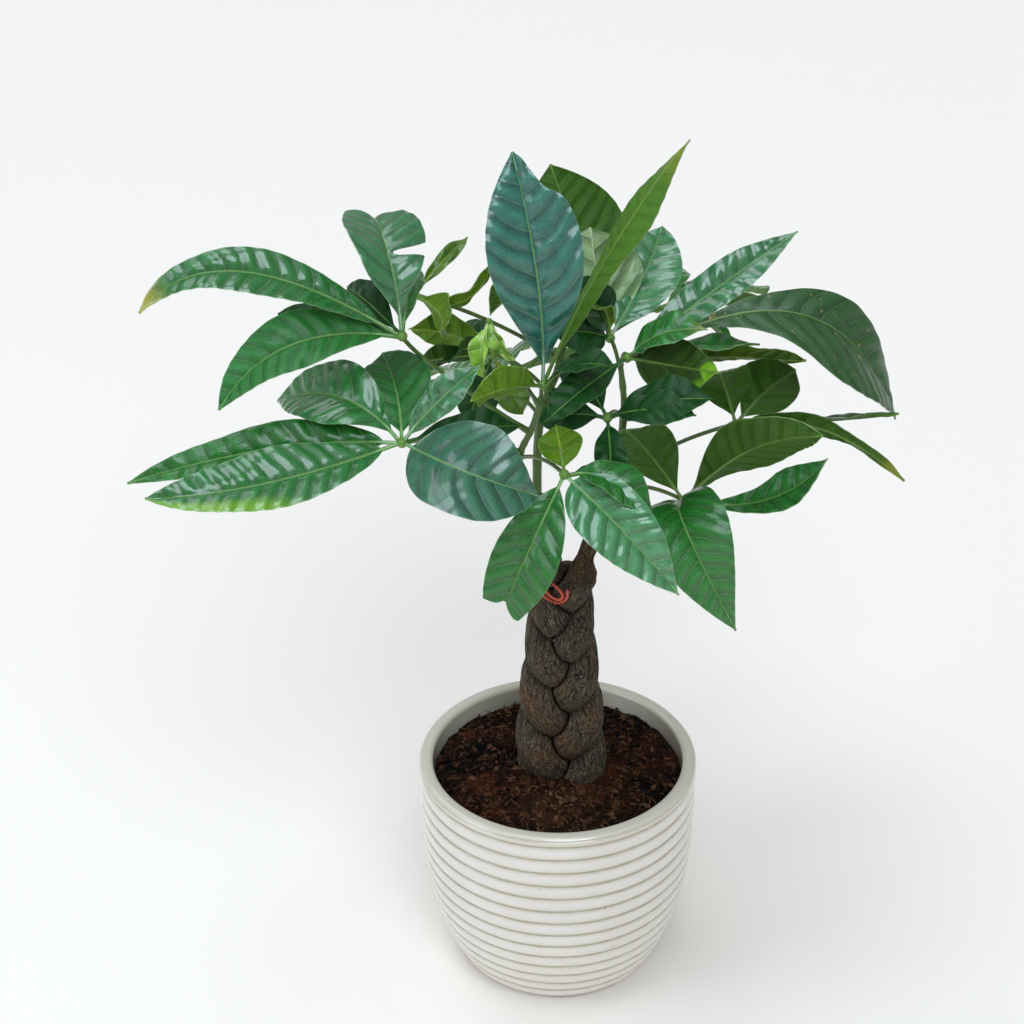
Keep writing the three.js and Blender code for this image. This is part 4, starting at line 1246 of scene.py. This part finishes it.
def leaf_material(finish, side):
    """A money tree's leaflet: a thin living blade, waxy and quilted above, duller and net-veined
    below. Pale midrib and side veins part the swellings, and light shines through a little."""
    name = f"leaf_{finish}_{side}"
    if name in bpy.data.materials:
        return bpy.data.materials[name]
    looks = {**PLAIN_LOOKS, **FINISHES[finish]}
    lines, furrow, net_share, dull, shine, coat = (
        looks[("" if side == "upper" else "under_") + key]
        for key in ("lines", "furrow", "net", "roughness", "shine", "coat"))
    deep, light, pale = looks[side]
    sign = 1 if side == "upper" else -1
    material, add = new_material(name)
    blade = kept(add, "leaf_mm")
    across, _, half = parts(add, blade)
    vein, along, tone = parts(add, kept(add, "leaf_vein"))
    yellow, spots, spacing = parts(add, kept(add, "leaf_marks"))
    lime = add("Attribute", attribute_name="leaf_lime")["Fac"]

    # Where a point lies: its distance to the midrib, the nearest side vein and the margin
    distance = maths(add, "ABSOLUTE", across)
    right = maths(add, "GREATER_THAN", across, 0)
    phase = maths(add, "MULTIPLY_ADD", right, 0.5, vein)
    nearest = maths(add, "PINGPONG", phase, 0.5)
    line = soft_ramp(add, maths(add, "MULTIPLY", nearest, spacing), 0.05, 0.5, 1, 0)
    side_vein = maths(add, "MULTIPLY", line, ramp(add, distance, 3, 18, 1, 0.15))
    midrib = soft_ramp(add, distance, 0.1, ramp(add, along, 0, 1, 0.85, 0.25), 1, 0)
    margin = soft_ramp(add, maths(add, "SUBTRACT", half, distance), 0.05, 0.4, 0.35, 0)
    edges = add("TexVoronoi", {"Vector": blade, "Scale": 0.42, "Randomness": 0.9},
                feature="DISTANCE_TO_EDGE", voronoi_dimensions="2D")[0]
    net = soft_ramp(add, edges, 0, 0.12, 1, 0)
    swell = soft_ramp(add, nearest, 0, 0.5)
    mottle = cloud(add, blade, 0.16, 4, 0.6)

    # Flesh, lighter on the swellings as painted light and darkened in the furrows as painted shade, then
    # marks and veins
    # Painted light: the swellings between the veins are coloured lighter
    share = maths(add, "MULTIPLY_ADD", swell, 0.3, ramp(add, mottle, 0.3, 0.7, 0.15, 0.6))
    shaded = soft_ramp(add, maths(add, "FRACT", phase), 0.45, 0.95, 0, furrow)
    flesh = blend(add, shaded, blend(add, share, deep, light), looks["shade"])
    # Lime patch: in part painted light shining through the leaflet's edge
    limed = blend(add, soft_ramp(add, lime, 0.35, 0.8, 0, 0.85), flesh, LIME_PATCH)
    toned = add("HueSaturation", {"Color": limed, "Value": tone})[0]
    aged = blend(add, maths(add, "MULTIPLY", soft_ramp(add, along, 0.8, 1), yellow), toned, AGED_TIP)
    flecks = ramp(add, cloud(add, blade, 0.22, 5, 0.7), 0.62, 0.68)
    colour = blend(add, maths(add, "MULTIPLY", flecks, spots), aged, DRY_FLECK)
    for drawn in (maths(add, "MULTIPLY", net, net_share), maths(add, "MULTIPLY", side_vein, lines),
                  midrib, margin):
        colour = blend(add, drawn, colour, pale)

    # Relief: swellings, creases along the veins, the net, fine pleats and a grain
    relief = maths(add, "MULTIPLY", swell, 0.45 * sign)
    relief = maths(add, "MULTIPLY_ADD", side_vein, -0.22 * sign, relief)
    relief = maths(add, "MULTIPLY_ADD", net, -0.04 * sign, relief)
    lengthwise = add("CombineXYZ", {0: maths(add, "MULTIPLY", phase, spacing),
                                    1: maths(add, "MULTIPLY", distance, 0.22), 2: right})[0]
    relief = maths(add, "MULTIPLY_ADD", cloud(add, lengthwise, 0.45, 3, 0.6), looks["pleat"], relief)
    relief = maths(add, "MULTIPLY_ADD", cloud(add, blade, 1.4, 3), 0.16, relief)
    return surface(material, add, colour, relief, 1, 1, {
        "Roughness": ramp(add, mottle, 0.3, 0.7, dull - 0.06, dull + 0.08), "IOR": 1.45,
        "Specular IOR Level": shine, "Subsurface Weight": looks["glow"],
        "Subsurface Scale": 0.8 * MM, "Subsurface Radius": (0.6, 1.0, 0.15),
        "Coat Weight": coat, "Coat Roughness": 0.16, "Coat IOR": 1.6})


def leaf_piece(leaf, settings, rng):
    """A leaf: its stalk from the shoot, its hub, and its leaflets."""
    root = curve_through(SHOOTS[leaf["shoot"]]["points"], [leaf["at"]])[0]
    hub = np.array(leaf["hub"], float)
    bow = (root + hub) / 2 + np.array(leaf.get("bow", STALK_BOW))
    t = np.linspace(0, 1, STALK_STEPS)
    ends = 0.75 * hump(t, 0, 0.06) + 0.45 * hump(t, 1, 0.05)
    stalk = tube(bend(root, bow, hub, t[:, None]), STALK_RADIUS + ends, sides=3)
    stalk.data.materials.append(bpy.data.materials["green_shoot"])
    deselect()
    bpy.ops.mesh.primitive_uv_sphere_add(
        segments=20, ring_count=12, radius=leaf.get("knob", HUB_RADIUS) * MM, location=hub * MM)
    knob = bpy.context.object
    knob.data.materials.append(pale_rib())
    bpy.ops.object.shade_smooth()
    blades = []
    for leaflet in leaf["leaflets"]:
        blades += [leaflet_blade(leaf, leaflet, settings, rng), leaflet_rib(leaf, leaflet)]
    return joined([*blades, stalk, knob])


class MONEYTREE_OT_leaves(bpy.types.Operator):
    """Model the leaves, each with its stalk and leaflets"""
    bl_idname = "money_tree.leaves"
    bl_label = "Leaves"

    def execute(self, context):
        rng = np.random.default_rng(TONE_SEED)
        for name, leaf in LEAVES.items():
            piece = leaf_piece(leaf, context.scene.money_tree_leaf, rng)
            slot = "young_leaf" if name in YOUNG_LEAVES else "leaf"
            give(piece, "foliage_" + name, slot, "leaf_" + name)
        return {"FINISHED"}


# Stage

def painted_floor(settings):
    """Smooth matt floor paint, so that the pot and plant stand in their own soft shadow."""
    material, add = new_material("matt_floor_paint")
    roll = cloud(add, add("TexCoord")["Object"], 400, 2)
    tint = blend(add, roll, settings.floor, "fcf7ee")
    return surface(material, add, tint, roll, 0.05, 0.2, {"Roughness": 0.9, "Specular IOR Level": 0.2})


def soft_light(name, kind, location, power, colour, **spread):
    """A broad light that looks at the middle of the plant."""
    deselect()
    bpy.ops.object.light_add(type=kind, location=location)
    lamp = bpy.context.object
    lamp.name = name
    lamp.rotation_euler = (Vector(LIGHTS_LOOK_AT) - Vector(location)).to_track_quat("-Z", "Y").to_euler()
    lamp.data.energy = power
    lamp.data.color = linear(colour)
    for key, value in spread.items():
        setattr(lamp.data, key, value)


def camera_turn():
    """The camera's turn, from its pitch, yaw and roll."""
    pitch, roll = math.radians(CAMERA_PITCH), math.radians(CAMERA_ROLL)
    yaw = Matrix.Rotation(math.radians(CAMERA_YAW), 3, "Z")
    ahead = yaw @ Vector((0, math.cos(pitch), -math.sin(pitch)))
    up = yaw @ Vector((0, math.sin(pitch), math.cos(pitch)))
    right = yaw @ Vector((1, 0, 0))
    rolled = right * math.cos(roll) + up * math.sin(roll)
    upright = up * math.cos(roll) - right * math.sin(roll)
    return Matrix((rolled, upright, -ahead)).transposed().to_4x4()


class MONEYTREE_OT_stage(bpy.types.Operator):
    """Set up the floor, the soft lights and the camera"""
    bl_idname = "money_tree.stage"
    bl_label = "Stage"

    def execute(self, context):
        settings = context.scene.money_tree_stage
        deselect()
        bpy.ops.mesh.primitive_plane_add(size=FLOOR_SIZE)
        floor = context.object
        floor.name = "studio_floor"
        floor.data.materials.append(painted_floor(settings))
        wide, wider = math.radians(32), math.radians(34)
        soft_light("window_left", "AREA", (-1.5, -0.7, 1.0), settings.window, "e2ecff", size=0.9)
        soft_light("front_panel", "SUN", (0.25, -1.25, 1.58), settings.front, "e6f0ff", angle=wide)
        soft_light("ceiling_panel", "SUN", (-0.3, -0.26, 2.24), settings.ceiling, "e6f0ff", angle=wide)
        soft_light("veiled_sun", "SUN", (-0.9, 1.1, 2.4), settings.sun, "f2f6ff", angle=wider)
        world = bpy.data.worlds.new("studio")
        world.use_nodes = True
        sky = world.node_tree.nodes["Background"].inputs
        sky["Color"].default_value = rgba("f6f6f5")
        sky["Strength"].default_value = settings.sky
        context.scene.world = world
        context.scene.view_settings.view_transform = "Standard"
        deselect()
        bpy.ops.object.camera_add()
        camera = context.object
        camera.matrix_world = Matrix.Translation(CAMERA_PLACE) @ camera_turn()
        camera.data.sensor_width = CAMERA_SENSOR
        camera.data.lens = CAMERA_LENS
        camera.data.clip_end = CAMERA_REACH
        context.scene.camera = camera
        return {"FINISHED"}


# Add-on: each group of settings with the operators that use it

GROUPS = {
    "money_tree_pot": (MoneyTreePotSettings, ["pot"]),
    "money_tree_soil": (MoneyTreeSoilSettings, ["soil"]),
    "money_tree_stem": (MoneyTreeStemSettings, ["trunks", "wire", "shoots"]),
    "money_tree_leaf": (MoneyTreeLeafSettings, ["leaves"]),
    "money_tree_stage": (MoneyTreeStageSettings, ["stage"]),
}


class MONEYTREE_PT_panel(bpy.types.Panel):
    """Lists the pieces of the money tree"""
    bl_idname = "MONEYTREE_PT_panel"
    bl_label = "Money tree"
    bl_space_type = "VIEW_3D"
    bl_region_type = "UI"
    bl_category = "Money tree"

    def draw(self, context):
        for group, (settings, names) in GROUPS.items():
            box = self.layout.box()
            for name in settings.__annotations__:
                box.prop(getattr(context.scene, group), name)
            for name in names:
                box.operator("money_tree." + name)


CLASSES = [
    *(settings for settings, _ in GROUPS.values()), MONEYTREE_OT_pot, MONEYTREE_OT_soil, MONEYTREE_OT_trunks,
    MONEYTREE_OT_wire, MONEYTREE_OT_shoots, MONEYTREE_OT_leaves, MONEYTREE_OT_stage, MONEYTREE_PT_panel,
]


def register():
    for kind in CLASSES:
        bpy.utils.register_class(kind)
    for group, (settings, _) in GROUPS.items():
        setattr(bpy.types.Scene, group, bpy.props.PointerProperty(type=settings))


def unregister():
    for group in GROUPS:
        delattr(bpy.types.Scene, group)
    for kind in reversed(CLASSES):
        bpy.utils.unregister_class(kind)


def main():
    register()
    for _, names in GROUPS.values():
        for name in names:
            getattr(bpy.ops.money_tree, name)()


if __name__ == "__main__":
    main()
